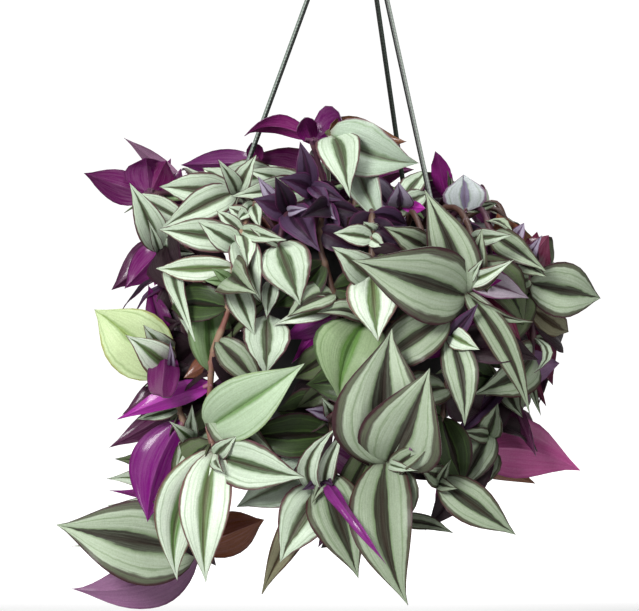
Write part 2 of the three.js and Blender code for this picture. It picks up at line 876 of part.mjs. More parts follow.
// The leaves that the eye sees come first, the rest fill in round them
for (const s of stems) {
  s.leaves.forEach(([along, x, y, z, width, turn, arch, bow = 0]) => {
    const base = placeOn(s.curve, freeSpot(s.taken, along, s.points - 1));
    const tip = seen([x, y, z]);
    const facing = eye.clone().sub(base).normalize();
    const rise = arch ?? blade.arch * base.distanceTo(tip);
    place(s, { base, tip, facing, width, turn, arch: rise, bow });
  });
}
for (const s of stems) {
  if (!s.count) continue;
  const draw = drawsFrom(s.seed);
  for (let j = 0; j < s.count; j++) {
    const share = (j + 0.6) / s.count;
    const along = share * (s.points - 1.02);
    const size = 1 - 0.35 * share;
    place(s, ruledLeaf(s.curve, along, j % 2 ? 1 : -1, size, draw, false));
  }
}
stems.forEach((s, i) => {
  if (!s.extra) return;
  const draw = drawsFrom(90001 + 211 * i);
  for (let j = 0; j < s.extra; j++) {
    const along = 2.4 + ((j + 0.5) / s.extra) * (s.points - 3.5);
    place(s, ruledLeaf(s.curve, along, j % 2 ? 1 : -1, 0.85, draw, true));
  }
});

// Joins a stem with its leaves, and keeps the one body that holds together
function joined(owner) {
  const whole = wasm.Manifold.union(placed.filter((p) => p.owner === owner).map((p) => p.body));
  const bodies = whole.decompose().sort((a, b) => b.volume() - a.volume());
  return bodies[0];
}

const finishes = {
  pot: new THREE.MeshStandardMaterial({ color: 0x23261f, roughness: 0.55 }),
  soil: new THREE.MeshStandardMaterial({ color: 0x2b1d14, roughness: 1 }),
  hanger: new THREE.MeshStandardMaterial({ color: 0x3c423d, roughness: 0.45 }),
  leaves: new THREE.MeshStandardMaterial({ color: 0xa9bda0, roughness: 0.4 }),
};

const hangingPot = new THREE.Group();

function addMesh(name, body, finish) {
  const mesh = new THREE.Mesh(geometryOf(body), finish);
  mesh.name = name;
  mesh.position.z = rimHeight;
  hangingPot.add(mesh);
}

addMesh("pot", potBody, finishes.pot);
addMesh("soil", soilBody, finishes.soil);
rods.forEach((body, i) => addMesh("hanger_rod_" + (i + 1), body, finishes.hanger));
addMesh("hook", makeHook(), finishes.hanger);
stems.forEach((s) => addMesh(s.owner, joined(s.owner), finishes.leaves));

export default hangingPot;
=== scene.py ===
import math
import random
import bmesh
import bpy
from mathutils import Matrix, Vector, noise
from mathutils.kdtree import KDTree


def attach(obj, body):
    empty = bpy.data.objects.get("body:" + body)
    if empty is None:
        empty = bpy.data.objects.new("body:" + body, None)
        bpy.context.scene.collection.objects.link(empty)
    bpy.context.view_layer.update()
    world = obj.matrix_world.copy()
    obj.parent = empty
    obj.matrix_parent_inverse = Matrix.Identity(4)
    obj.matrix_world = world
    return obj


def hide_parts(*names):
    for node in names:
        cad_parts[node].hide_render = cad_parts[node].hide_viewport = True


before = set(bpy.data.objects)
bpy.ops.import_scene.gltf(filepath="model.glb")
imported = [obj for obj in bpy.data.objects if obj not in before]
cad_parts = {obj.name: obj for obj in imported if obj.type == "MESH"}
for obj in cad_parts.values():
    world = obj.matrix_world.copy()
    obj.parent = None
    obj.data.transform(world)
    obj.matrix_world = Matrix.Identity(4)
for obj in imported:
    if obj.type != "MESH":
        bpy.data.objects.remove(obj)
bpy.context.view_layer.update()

mm = 0.001
fullTurn = 6.28  # radians, near enough
rimHeight = -254  # mm, the pot's rim below the hanging point
eye = Vector((-22, -1600, 64))  # mm off the rim's centre, where the photo was taken
lookDraws = random.Random(7)
print("frame loaded,", len(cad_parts), "nodes")


def linear(red, green, blue):  # from a screen's 0 to 255
    return tuple(((c / 255 + 0.055) / 1.055) ** 2.4 if c > 10 else c / 3294.6 for c in (red, green, blue))


def mixed(a, b, share):
    return tuple(p + (q - p) * share for p, q in zip(a, b))


# the front stems as the camera sees them: x and z on the hanger's plane, y the true depth, in mm;
# a leaf is (place on the way, tip x, y, z, width, turn, [arch, bow,] look), young ones are only in this
# script, extra ones follow the growth rule, and seen gives the looks of extra ones that show
frontStems = [
    {"root": (-40, -24), "stalk": "green", "extra": 0,
     "way": [(-50, -36, 6), (-62, -54, 16), (-75, -68, 20)],
     "leaves": [(2, -118, -66, 23, 19, 0, "silver"), (2, -117, -84, -2, 18, 10, "silver"),
                (2, -83, -86, 39, 10, 20, "silver"), (2, -60, -76, 42, 12, -15, "silver"),
                (1.6, -92, -56, 34, 14, 0, "silver")]},
    {"root": (-54, -14), "stalk": "green", "extra": 1,
     "way": [(-66, -20, 6), (-84, -24, 12), (-102, -32, 2), (-118, -38, -16)],
     "leaves": [(2, -134, -22, 19, 13, 0, "silver"), (3, -136, -54, 25, 17, 0, "silver"),
                (3, -97, -60, -17, 12, 0, "silver"), (3, -147, -30, -39, 21, 180, "deep"),
                (3, -139, -48, -38, 18, 180, "plum"), (3, -121, -58, -36, 11, 180, "bright")],
     "young": [(3, -125, -60, 3, 6, 0, "silver")]},
    {"root": (-46, 6), "stalk": "purple", "extra": 0,
     "way": [(-58, 6, 6), (-78, 10, 15), (-96, 6, 21), (-110, 0, 20), (-124, -4, 18)],
     "leaves": [(4, -163, -16, 31, 19, 190, "purple"), (2.4, -139, 4, 52, 10, 180, "mauve"),
                (4.7, -124, 16, 42, 24, 180, 4, "plum"), (4.2, -111, 22, 40, 18, 180, 4, "plum")],
     "young": [(4.4, -126, -16, 40, 26, 180, 5, "plum"), (4, -114, -12, 38, 20, 180, 4, "plum"),
               (3, -105, 8, 34, 10, 180, "purple")]},
    {"root": (-24, -26), "stalk": "green", "extra": 0,
     "way": [(-26, -34, 2), (-31, -44, 24)],
     "leaves": [(1, -67, -52, 33, 14, 0, "silver"), (1, -75, -64, 17, 16, 0, "silver"),
                (1, -53, -50, 36, 14, 0, "silver")]},
    {"root": (-22, 12), "stalk": "purple", "extra": 0,
     "way": [(-34, 14, 8), (-50, 14, 30), (-60, 14, 38)],
     "leaves": [(2, -105, 2, 36, 16, 180, "purple"), (2, -63, 4, 49, 10, 180, "purple"),
                (1, -88, 24, 26, 20, 0, "silver")]},
    {"root": (-10, -4), "stalk": "purple", "extra": 0,
     "way": [(-14, -6, 6), (-22, -10, 34), (-27, -13, 52)],
     "leaves": [(2, -67, -26, 53, 13, 145, 11, "magenta"), (2, -9, -34, 62, 24, 180, 8, "purple"),
                (2, -31, -32, 64, 12, 190, "magenta")]},
    {"root": (8, -8), "stalk": "green", "extra": 0,
     "way": [(8, -14, 8), (-1, -26, 36), (-18, -34, 56)],
     "leaves": [(1.9, 37, -44, 37, 31, -15, 6, -5, "mist"), (1.2, 16, -58, -3, 20, 0, "mist"),
                (0.6, 30, -50, 2, 18, 0, "lilac"), (2, -4, -70, 16, 24, 0, 8, 2, "silver"),
                (2, 29, -2, 50, 15, 180, "brown"), (2, 8, 4, 64, 11, 170, "purple")],
     "young": [(1.9, 29, -6, 50, 22, 180, 6, "brown"), (1.9, 8, -26, 59, 6, 0, 4, "white"),
               (1.6, 2, -40, 34, 8, 180, "bright")]},
    {"root": (-22, -38), "stalk": "purple", "extra": 0,
     "way": [(-24, -48, 6), (-28, -62, 23)],
     "leaves": [(1, -34, -68, 50, 12, 0, "dark"), (1, -47, -74, 28, 14, 20, "dark"),
                (1, -10, -54, 20, 13, 0, "night"), (0.8, -20, -78, 6, 11, 0, "dark")],
     "young": [(1, -6, -72, 14, 10, 0, "dark"), (1, -16, -76, 10, 9, -20, "dark")]},
    {"root": (-8, -40), "stalk": "purple", "extra": 0,
     "way": [(-13, -50, 6), (-17, -67, 12)],
     "leaves": [(1, -34, -82, 4, 12, 0, "night"), (1, -5, -84, -5, 12, 0, "night")],
     "young": [(1, 4, -72, 6, 10, 0, "night"), (0.8, -12, -84, 3, 8, 30, "lilac"),
               (1, -9, -86, -12, 11, 20, "dark")]},
    {"root": (-34, -42), "stalk": "purple", "extra": 2,
     "way": [(-36, -52, 4), (-41, -78, 8), (-47, -92, -12), (-51, -92, -34), (-54, -94, -56)],
     "leaves": [(1, -49, -88, 29, 12, 10, "night"), (1, -62, -88, 16, 15, 0, "dark"),
                (1.4, -44, -84, -9, 13, 0, "dark"), (1, -22, -98, -16, 18, 0, "dark"),
                (2, -34, -108, -48, 28, 0, "silver"), (3, -54, -104, -56, 10, 0, "silver"),
                (4, -55, -102, -90, 25, 0, "silver")],
     "young": [(1, -59, -74, 29, 9, -20, "lilac"), (2, -64, -98, -2, 8, 20, "silver"),
               (2.4, -15, -92, -45, 9, 0, "white"), (1, -29, -98, 10, 6, 0, "lilac")]},
    {"root": (-46, -34), "stalk": "pink", "extra": 6, "seen": {1: "forest"},
     "way": [(-50, -44, 4), (-62, -68, 12), (-71, -90, -12), (-75, -94, -34), (-78, -94, -54),
             (-86, -90, -76), (-88, -86, -96), (-89, -86, -122), (-84, -92, -141)],
     "leaves": [(2, -95, -100, 2, 15, 0, "silver"), (2, -118, -70, -3, 18, 0, "silver"),
                (2, -57, -110, -46, 17, 0, "silver"), (2.2, -58, -102, -46, 10, 20, "silver"),
                (2, -66, -112, -27, 12, -20, "silver"), (2, -42, -106, -9, 10, 0, "silver"),
                (3, -61, -104, -67, 15, 0, "silver"), (2.6, -120, -78, -26, 14, 0, "white"),
                (5.6, -88, -68, -37, 23, 0, "green"), (5.3, -104, -82, -92, 12, 180, "brown"),
                (6, -144, -74, -117, 13, 170, "bright"), (7, -31, -112, -83, 31, 0, 8, "pale"),
                (8, -31, -108, -152, 26, 0, "silver"), (8, -72, -104, -127, 10, 0, "silver"),
                (8, -91, -106, -216, 27, 0, 10, -4, "white"), (8, -108, -94, -215, 27, 0, 8, -10, "white")],
     "young": [(5, -66, -66, -100, 14, 0, "inner"), (4.5, -68, -60, -72, 12, 0, "inner"),
               (1, -58, -86, -3, 9, 0, "silver"), (0.8, -44, -78, 6, 10, 0, "silver"),
               (1, -74, -86, 1, 9, 0, "silver"), (3, -87, -98, -26, 7, 0, "green"),
               (3, -92, -96, -33, 6, 0, "green"), (1.7, -84, -84, 9, 9, 0, "silver"),
               (1.4, -77, -78, 11, 9, 0, "silver"), (8, -80, -112, -149, 8, 30, "silver")]},
    {"root": (-50, -20), "stalk": "pink", "extra": 7, "seen": {0: "green"},
     "way": [(-60, -26, 6), (-78, -40, 10), (-98, -48, -8), (-110, -50, -30), (-115, -54, -60),
             (-112, -60, -88), (-107, -58, -110), (-100, -62, -129), (-96, -64, -153), (-96, -62, -178),
             (-97, -60, -199)],
     "leaves": [(2.2, -82, -34, -38, 26, 0, "inner"), (3, -98, -74, -73, 11, 0, "silver"),
                (4.5, -125, -50, -36, 14, 0, "plum"), (5, -157, -42, -51, 36, 0, "lime"),
                (5, -139, -84, -66, 19, 0, "white"), (4.6, -128, -72, -60, 15, 0, "white"),
                (4.6, -116, -96, -103, 17, 180, "purple"), (5.4, -141, -52, -114, 18, 180, "deep"),
                (6, -149, -46, -134, 15, 180, "deep"), (6.4, -126, -88, -179, 31, 180, 6, 6, "magenta"),
                (8, -151, -60, -153, 15, 0, -6, "white"), (8.8, -150, -56, -169, 15, 0, "silver"),
                (7, -66, -56, -112, 24, 0, "shade"), (4, -130, -40, -70, 24, 180, "deep"),
                (7.5, -146, -50, -141, 16, 0, -6, "shade"), (10, -181, -70, -181, 45, 0, 8, "big"),
                (10, -172, -50, -220, 30, 180, 6, -9, "mauve"), (10, -56, -74, -178, 24, 180, "brown")],
     "young": [(3, -97, -104, -70, 11, 0, 16, "silver"), (6, -88, -44, -100, 26, 0, "inner"),
               (4, -98, -40, -30, 22, 0, "inner"), (5, -92, -44, -70, 24, 0, "inner"),
               (4.2, -96, -50, -78, 12, 0, "inner"), (4.8, -92, -50, -100, 12, 0, "inner"),
               (5.5, -84, -46, -96, 12, 0, "inner"), (4, -106, -66, -58, 10, 0, "inner"),
               (7, -113, -92, -118, 9, 0, "white"), (7, -99, -86, -108, 9, 0, "silver"),
               (7, -109, -86, -147, 9, 0, "white"), (6, -132, -60, -117, 8, 0, "silver"),
               (8.4, -149, -50, -160, 8, 180, "magenta"), (10, -172, -58, -194, 8, 0, "silver"),
               (3.2, -133, -54, -53, 6, 60, "dark"), (3, -141, -40, -52, 5, 70, "night"),
               (5, -112, -86, -70, 5, 0, "lilac"), (5, -127, -64, -97, 4, 0, "white")]},
    {"root": (-10, -54), "stalk": "brown", "extra": 6,
     "way": [(-13, -62, 1), (-20, -84, 6), (-22, -95, -12), (-17, -97, -30), (-11, -95, -54),
             (-12, -88, -88), (-16, -84, -126), (-19, -88, -168)],
     "leaves": [(4, -45, -92, -69, 14, 180, "magenta"), (4, -39, -88, -83, 11, 180, "bright"),
                (3.8, -50, -102, -60, 10, 0, "white"), (6, -70, -86, -127, 24, 0, "forest"),
                (4.6, -38, -78, -92, 18, 0, "shade"), (5.2, -36, -84, -110, 12, 0, "shade"),
                (7, -10, -112, -120, 12, 0, 5, 14, "silver"), (7, -6, -106, -122, 10, 0, 4, 4, "silver"),
                (7, -46, -104, -204, 28, 0, 6, -3, "silver"),
                (6.7, 18, -124, -205, 10, 160, 7, "bright"), (7, 1, -96, -213, 30, 0, "grey"),
                (7, -57, -78, -223, 17, 0, "brownish"), (6.8, -72, -80, -170, 26, 0, "mist"),
                (6.8, -74, -70, -158, 12, 180, "deep"), (3.4, 20, -86, -36, 24, 0, "forest"),
                (2.6, -50, -86, -50, 22, 0, "forest"), (5.6, -48, -84, -112, 24, 0, "forest")],
     "young": [(1.6, 2, -94, -14, 14, 0, "night"), (6, -62, -80, -150, 22, 0, "inner"),
               (6.7, 18, -138, -205, 8, 150, -16, 9, "magenta"), (6.6, -33, -102, -160, 8, 0, "dark"),
               (6.6, -27, -104, -168, 7, 0, "grey"), (6.6, -14, -102, -157, 7, 20, "dark"),
               (4, -32, -104, -45, 8, 80, 6, "silver"), (5.7, -31, -98, -111, 8, 0, "lilac"),
               (5.7, -21, -100, -104, 8, 0, "silver"), (5.8, -12, -98, -110, 7, 0, "wine")]},
    {"root": (8, -46), "stalk": "brown", "extra": 6,
     "way": [(8, -56, 2), (9, -82, 8), (9, -98, -8), (9, -101, -32), (5, -97, -58), (6, -91, -92),
             (9, -90, -126), (19, -97, -144), (22, -92, -162), (22, -86, -180)],
     "leaves": [(2, -14, -102, -5, 12, 10, "silver"), (1.8, 4, -100, 2, 10, 0, "silver"),
                (3, -15, -114, -13, 18, 0, "silver"), (3, 13, -118, -70, 28, 0, "white"),
                (4, -10, -108, -106, 38, 0, 7, -4, "moss"), (7, 21, -118, -62, 52, 0, 8, 3, "big"),
                (7, 44, -130, -86, 44, 0, 8, -3, "big"), (7, 31, -114, -229, 34, 0, 8, -5, "grey"),
                (7, 21, -122, -190, 10, 0, 4, 12, "grey"), (7.3, 50, -118, -128, 12, -20, "grey"),
                (9, 58, -84, -186, 10, -30, "grey"), (2.6, 44, -86, -34, 24, 0, "forest"),
                (5, -30, -84, -96, 24, 0, "forest")],
     "young": [(1.2, 30, -76, 0, 14, 0, "dark"), (1.5, 28, -96, -12, 12, 0, "night"),
               (1.2, -6, -90, -14, 16, 0, "night"), (2.4, 34, -100, -24, 16, 0, "inner"),
               (2, 17, -104, -13, 9, 0, "silver"), (1.8, 21, -94, -13, 5, 70, "green"),
               (7, 37, -122, -148, 6, 0, "silver"), (7, 33, -126, -135, 6, 180, "bright")]},
    {"root": (22, -32), "stalk": "purple", "extra": 0,
     "way": [(24, -42, 6), (26, -60, 12)],
     "leaves": [(1, 25, -76, 26, 15, 0, "lilac"), (1, 43, -50, 19, 12, 0, "silver"),
                (0.8, 42, -44, 33, 13, -20, "silver"), (1, 18, -76, 1, 12, 0, "grey")],
     "young": [(1, 41, -72, 10, 7, 180, "bright")]},
    {"root": (42, -14), "stalk": "purple", "extra": 0,
     "way": [(46, -18, 6), (54, -26, 16), (66, -42, 8)],
     "leaves": [(1, 47, -44, 44, 11, 180, "bright"), (2, 64, -38, 30, 24, 0, "violet")],
     "young": [(1, 52, -26, 38, 6, 60, "grey"), (2, 84, -24, 13, 5, 0, "grey")]},
    {"root": (36, -34), "stalk": "brown", "extra": 3,
     "way": [(44, -42, 6), (60, -60, 10), (69, -80, -8), (67, -88, -28), (65, -90, -43)],
     "leaves": [(4, -3, -124, -21, 40, 0, 8, "big"), (4, 40, -112, 22, 26, 0, 8, -2, "big"),
                (3.6, 75, -104, -2, 16, 0, "grey"), (3.4, 92, -102, -21, 15, 0, "grey"),
                (4, 104, -98, -113, 15, 0, 6, 5, "grey"), (3.8, 102, -84, -80, 19, 180, "wine"),
                (3.4, 103, -88, -44, 16, -20, "mauve")],
     "young": [(1.5, 66, -46, 0, 16, 0, "dark"), (2, 93, -98, -6, 10, 0, "silver"),
               (3.4, 94, -114, -21, 9, 10, "white"), (3.8, 106, -98, -58, 9, 50, "grey"),
               (3.4, 76, -110, -20, 6, 0, "silver"), (3.4, 87, -104, -33, 6, 180, "bright")]},
    {"root": (50, -24), "stalk": "purple", "extra": 4,
     "way": [(58, -30, 6), (74, -42, 10), (82, -54, -6), (100, -58, -24), (104, -54, -46),
             (106, -52, -68), (103, -52, -87)],
     "leaves": [(2, 114, -84, -28, 15, 0, "grey"), (2.6, 84, -50, 7, 20, 180, "brown"),
                (3, 115, -50, -6, 24, 180, "wine"), (3, 114, -78, -31, 11, 0, "grey"),
                (3.5, 146, -44, -44, 30, 0, "big"), (4.2, 127, -34, -64, 15, 0, "brownish"),
                (6, 122, -46, -83, 18, 180, "mauve")],
     "young": [(3, 90, -52, 4, 22, 180, 6, "brown"), (3.4, 108, -48, -4, 22, 180, 6, "wine"),
               (2.4, 106, -40, -30, 22, 0, "inner"), (3.4, 88, -76, -38, 10, 0, "grey"),
               (1.6, 94, -68, -5, 9, -60, "grey"), (2.5, 100, -46, 1, 8, 0, "lilac"),
               (3, 111, -74, -6, 8, 0, "lilac"), (5, 120, -40, -70, 8, 0, "grey"),
               (5, 104, -68, -91, 6, 0, 3, 9, "silver"), (6, 114, -58, -109, 5, 180, "wine"),
               (6, 111, -62, -115, 5, 0, "grey")]},
    {"root": (28, -44), "stalk": "brown", "extra": 6,
     "way": [(31, -56, 2), (34, -82, 7), (43, -95, -14), (52, -98, -40), (56, -94, -68), (54, -88, -98),
             (50, -86, -128), (50, -90, -156)],
     "leaves": [(2, 16, -108, -1, 15, 0, "grey"), (4, 65, -110, -121, 19, 0, 6, 3, "big"),
                (4, 74, -106, -75, 12, 0, "white"), (4, 31, -98, -79, 18, 180, "magenta"),
                (3.8, 19, -92, -58, 11, 0, "brown"), (7, 96, -98, -187, 22, 0, "grey"),
                (7, 38, -102, -147, 13, 0, "grey"), (5.6, 64, -84, -158, 22, 0, "forest"),
                (3.4, 22, -84, -58, 24, 0, "forest"), (4.6, 84, -84, -92, 22, 0, "forest"),
                (5.6, 26, -80, -116, 22, 0, "forest")],
     "young": [(5, 74, -70, -112, 24, 0, "inner"), (4, 73, -104, -47, 9, 0, "dark"),
               (7, 61, -106, -159, 8, 0, "grey"), (7, 44, -96, -140, 7, 180, "brown"),
               (7, 57, -104, -141, 6, 0, "grey")]},
    {"root": (58, -6), "stalk": "brown", "extra": 6,
     "way": [(68, -6, 6), (84, -12, 9), (98, -20, -14), (102, -26, -46), (95, -36, -78), (89, -48, -97),
             (79, -64, -127), (81, -66, -136)],
     "leaves": [(5, 100, -64, -116, 12, 0, "grey"), (5, 54, -82, -133, 10, 0, "dark"),
                (5, 75, -62, -104, 12, 0, "grey"), (3, 118, -40, -96, 20, 180, "wine"),
                (4, 64, -50, -62, 22, 0, "forest"), (6, 85, -78, -107, 14, 0, "grey"),
                (6, 60, -90, -163, 20, 0, "big"), (7, 74, -72, -160, 16, 0, "grey"),
                (7, 135, -42, -148, 33, 180, 6, -4, "rose"), (7, 108, -28, -156, 19, 180, 4, 4, "brown")],
     "young": [(4.6, 60, -60, -150, 22, 0, "inner"), (5, 108, -78, -139, 8, 180, "deep"),
               (6, 61, -86, -124, 9, 0, "grey")]},
]

# the stems round the sides and back: angle, root radius, reach, drop below the rim, leaves
aroundStems = [
    (4, 60, 98, 150, 9), (24, 50, 96, 88, 7), (42, 62, 104, 176, 9), (60, 48, 104, 66, 6),
    (76, 60, 112, 150, 9), (94, 50, 112, 190, 9), (111, 62, 108, 96, 7), (128, 48, 114, 165, 9),
    (146, 60, 112, 76, 7), (163, 50, 114, 170, 9), (178, 60, 108, 120, 8), (92, 34, 52, -20, 4),
    (130, 24, 34, -28, 4),
]
aroundStalks = ("brown", "purple", "brown")  # taken in turn

# how a leaf may have been moved to clear its neighbours: tip towards its face, turn, scale
tries = [
    (0, 0, 1), (5, 0, 1), (-5, 0, 1), (10, 0, 1), (-10, 0, 1), (16, 8, 1), (-16, -8, 1), (22, 0, 1),
    (-22, 0, 1), (3, 25, 1), (-3, -25, 1), (30, 0, 1), (-30, 0, 1), (8, -30, 1), (-8, 30, 1),
    (38, 0, 1), (12, 30, 0.92), (-12, -30, 0.92), (24, -15, 0.9), (-24, 15, 0.9), (4, 45, 0.85),
    (-4, -45, 0.85), (18, 20, 0.8), (-18, -20, 0.8), (34, 10, 0.75), (-34, -10, 0.75), (6, -60, 0.7),
    (-6, 60, 0.7),
]

# upper face: silver bands, midstripe and margin, rim line; the lower face; where the margin
# starts and half the midstripe's width, as shares of half the blade
looks = {
    "white": ((228, 240, 222), (80, 120, 48), (104, 72, 68), (104, 10, 86), 0.86, 0.19),
    "silver": ((204, 219, 198), (56, 78, 40), (88, 54, 60), (98, 8, 82), 0.84, 0.2),
    "mist": ((186, 202, 184), (112, 132, 102), (120, 98, 100), (104, 12, 88), 0.92, 0.1),
    "grey": ((160, 173, 150), (34, 34, 24), (62, 36, 36), (84, 6, 70), 0.76, 0.22),
    "big": ((180, 194, 170), (42, 38, 32), (60, 36, 40), (98, 12, 82), 0.73, 0.18),
    "shade": ((92, 100, 76), (32, 34, 22), (50, 34, 34), (64, 8, 52), 0.8, 0.2),
    # forest: a green leaf darkened as painted shade, for leaves lying in shadow
    "forest": ((50, 62, 38), (22, 30, 16), (58, 34, 40), (56, 8, 46), 0.86, 0.16),
    "moss": ((150, 168, 132), (92, 132, 60), (70, 88, 54), (84, 20, 66), 0.92, 0.12),
    "green": ((128, 152, 112), (58, 88, 40), (80, 86, 60), (92, 18, 76), 0.84, 0.2),
    "pale": ((190, 210, 180), (104, 142, 80), (144, 164, 122), (140, 70, 120), 0.95, 0.06),
    "lime": ((192, 208, 162), (142, 168, 98), (146, 152, 92), (140, 80, 110), 0.94, 0.08),
    "dark": ((74, 54, 80), (18, 8, 18), (92, 44, 84), (60, 4, 52), 0.8, 0.3),
    # night: dark purple leaves, darkened further to near black as painted shade
    "night": ((42, 26, 44), (12, 6, 12), (70, 28, 60), (40, 4, 34), 0.82, 0.3),
    "plum": ((88, 8, 78), (56, 4, 50), (64, 10, 54), (92, 2, 80), 0.9, 0.1),
    "violet": ((184, 190, 192), (104, 92, 122), (116, 92, 112), (104, 12, 88), 0.88, 0.17),
    # inner: near-black brown-purple, painted shade on leaves deep in the foliage
    "inner": ((50, 38, 42), (26, 16, 20), (52, 24, 40), (50, 6, 42), 0.84, 0.2),
    "lilac": ((166, 156, 176), (66, 48, 74), (96, 44, 88), (100, 20, 90), 0.84, 0.2),
    "rose": ((150, 120, 140), (90, 50, 80), (110, 40, 90), (152, 66, 126), 0.9, 0.1),
    "purple": ((120, 110, 120), (60, 40, 60), (70, 20, 60), (92, 4, 80), 0.9, 0.1),
    # deep: the purple look darkened as painted shade, for leaves behind others
    "deep": ((90, 80, 90), (44, 26, 42), (52, 14, 38), (64, 4, 50), 0.9, 0.1),
    "magenta": ((150, 150, 150), (80, 50, 70), (84, 12, 74), (114, 8, 102), 0.9, 0.1),
    "bright": ((180, 180, 176), (100, 70, 90), (120, 30, 108), (156, 26, 142), 0.9, 0.1),
    "mauve": ((150, 140, 150), (90, 70, 84), (96, 40, 80), (124, 82, 116), 0.9, 0.1),
    "wine": ((120, 96, 96), (70, 34, 42), (80, 20, 42), (92, 8, 48), 0.9, 0.1),
    "brown": ((104, 84, 60), (56, 42, 24), (70, 38, 26), (112, 66, 32), 0.9, 0.1),
    "brownish": ((128, 126, 100), (58, 50, 32), (76, 50, 40), (84, 44, 50), 0.84, 0.2),
}
grownLooks = ("silver", "grey", "big", "green", "shade")  # of the leaves round the sides and back
shadeLooks = ("shade", "inner", "inner")  # painted shade: the dark looks of the extra leaves deep in the foliage

# a leaf that follows the rule: start and spread of each draw; width and arches are shares of its length
growth = {
    "aside": (0.75, 0.35), "ahead": (0.25, 0.5), "outwards": (0.15, 0.4), "inwards": (-0.1, -0.4),
    "up": (0.1, -0.35), "length": (46, 26), "width": (0.4, 0.1), "turn": (-25, 50),
    "arch": 0.12, "placedArch": 0.11, "youngArch": 0.1, "smaller": 0.35, "extraSize": 0.85,
}
spacing = {"fromEnd": 0.06, "least": 0.072, "step": 0.08, "firstExtra": 2.4, "lastExtra": 0.1}
seeds = {"way": (7001, 97), "grown": (40009, 131), "extra": (90001, 211)}  # the first, and the step per stem
rootDepths = (-38, -24, -8)  # mm, how each stem rises through the soil
inFrontDepth = 1510  # mm in front of the eye; an extra leaf nearer than this shows, and one farther back gets a dark look as painted shade


def drawsFrom(kind, index):  # the seeded draws of the solids, without the first two
    multiplier, modulus = 16807, 2147483647
    first, step = seeds[kind]
    state = (first + step * index) * multiplier ** 2 % modulus
    while True:
        state = state * multiplier % modulus
        yield state / modulus


def seen(point):  # the true place of a point that the camera sees on the hanger's plane
    x, y, z = point
    nearer = (y - eye.y) / -eye.y
    return Vector((eye.x + (x - eye.x) * nearer, y, eye.z + (z - eye.z) * nearer))


def inFrame(point):  # from mm off the rim's centre to the frame's metres
    return Vector((point[0], point[1], point[2] + rimHeight)) * mm


def onCurve(points, t):  # the same smooth curve as the solids
    last = len(points) - 1
    i = min(math.floor(last * t), last - 1)
    share = last * t - i
    p1, p2 = points[i], points[i + 1]
    p0 = points[i - 1] if i > 0 else 2 * p1 - p2
    p3 = points[i + 2] if i + 2 <= last else 2 * p2 - p1
    t0, t1 = (p2 - p0) / 2, (p3 - p1) / 2
    return (p1 + t0 * share + (3 * (p2 - p1) - 2 * t0 - t1) * share ** 2
            + (2 * (p1 - p2) + t0 + t1) * share ** 3)


def stemPoints(root, way):
    return [Vector((root[0], root[1], z)) for z in rootDepths] + way


def placeOn(points, along):
    return onCurve(points, (len(rootDepths) + along) / (len(points) - 1))


def frontStem(row):
    points = stemPoints(seen((*row["root"], 0)), [seen(p) for p in row["way"]])
    return {"young": [], "seen": {}, **row, "points": points, "grown": 0}


def aroundStem(row, index):  # over the rim and down, or short and upright where the drop is below 0
    angle, rootRadius, reach, drop, grown = row
    draws = drawsFrom("way", index)
    turn = math.radians(angle)
    jointLength, narrowing, rimPlace, rimTop = 42, 0.16, 84, 13

    def sway():
        return (next(draws) - 0.5) * 14

    def at(radius, z, aside):
        return Vector((radius * math.cos(turn) - aside * math.sin(turn),
                       radius * math.sin(turn) + aside * math.cos(turn), z))

    if drop < 0:
        way = [at(rootRadius + 4, -drop * 0.3, 0), at((rootRadius + reach) / 2, -drop * 0.8, sway() / 2),
               at(reach, -drop, sway() / 2)]
    else:
        way = [at(rootRadius + 8, 6, 0), at(rimPlace, rimTop, sway() / 4), at(reach * 0.92, -4, sway() / 2)]
        hanging = max(1, math.floor(drop / jointLength + 0.5))
        for i in range(1, hanging + 1):
            share = i / hanging
            way.append(at(reach * (1 - narrowing * share * share), -4 - (drop - 4) * share, sway()))
    root = (rootRadius * math.cos(turn), rootRadius * math.sin(turn))
    return {"leaves": [], "young": [], "extra": 0, "seen": {}, "points": stemPoints(root, way),
            "grown": grown, "stalk": aroundStalks[index % len(aroundStalks)]}


def readLeaf(row, base, archShare):  # a row may leave out the arch and the bow
    x, y, z, width, turn, *bends, look = row[1:]
    tip = seen((x, y, z))
    arch, bow = (*bends, 0)[:2] if bends else (archShare * (tip - base).length, 0)
    return {"base": base, "tip": tip, "facing": (eye - base).normalized(), "width": width,
            "turn": turn, "arch": arch, "bow": bow, "look": look}


def ruledLeaf(points, along, side, size, draws, inwards):
    def drawn(key):
        start, spread = growth[key]
        return start + spread * next(draws)

    base = placeOn(points, along)
    ahead = (placeOn(points, along + 0.05) - base).normalized()
    out = Vector((base.x, base.y, 0)).normalized()
    heading = ahead.cross(out).normalized() * side * drawn("aside")
    heading += ahead * drawn("ahead")
    heading += out * drawn("inwards" if inwards else "outwards")
    heading += Vector((0, 0, drawn("up")))
    length = drawn("length") * size
    tip = base + heading.normalized() * length
    return {"base": base, "tip": tip, "facing": out + Vector((0, 0, 0.7)), "width": length * drawn("width"),
            "turn": drawn("turn"), "arch": length * growth["arch"], "bow": 0}


def freeSpot(taken, along, last):  # the nearest place towards the root that no other leaf has
    spot = min(along, last - spacing["fromEnd"])
    while any(abs(other - spot) < spacing["least"] for other in taken):
        spot -= spacing["step"]
    taken.append(spot)
    return spot


def nodeTips(name):
    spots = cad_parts[name].data.vertices
    tree = KDTree(len(spots))
    for i, v in enumerate(spots):
        tree.insert(v.co, i)
    tree.balance()
    return tree


def asBuilt(leaf, tips):  # the position in which the solids hold this leaf
    aside = leaf["facing"].normalized()
    for reach in (0.12, 0.7):  # mm; a shortened leaf may lie a little off
        for shift, turn, scale in tries:
            tip = leaf["base"].lerp(leaf["tip"], scale) + aside * shift
            if tips.find(inFrame(tip))[2] < reach * mm:
                return dict(leaf, tip=tip, width=leaf["width"] * scale, turn=leaf["turn"] + turn)
    return None


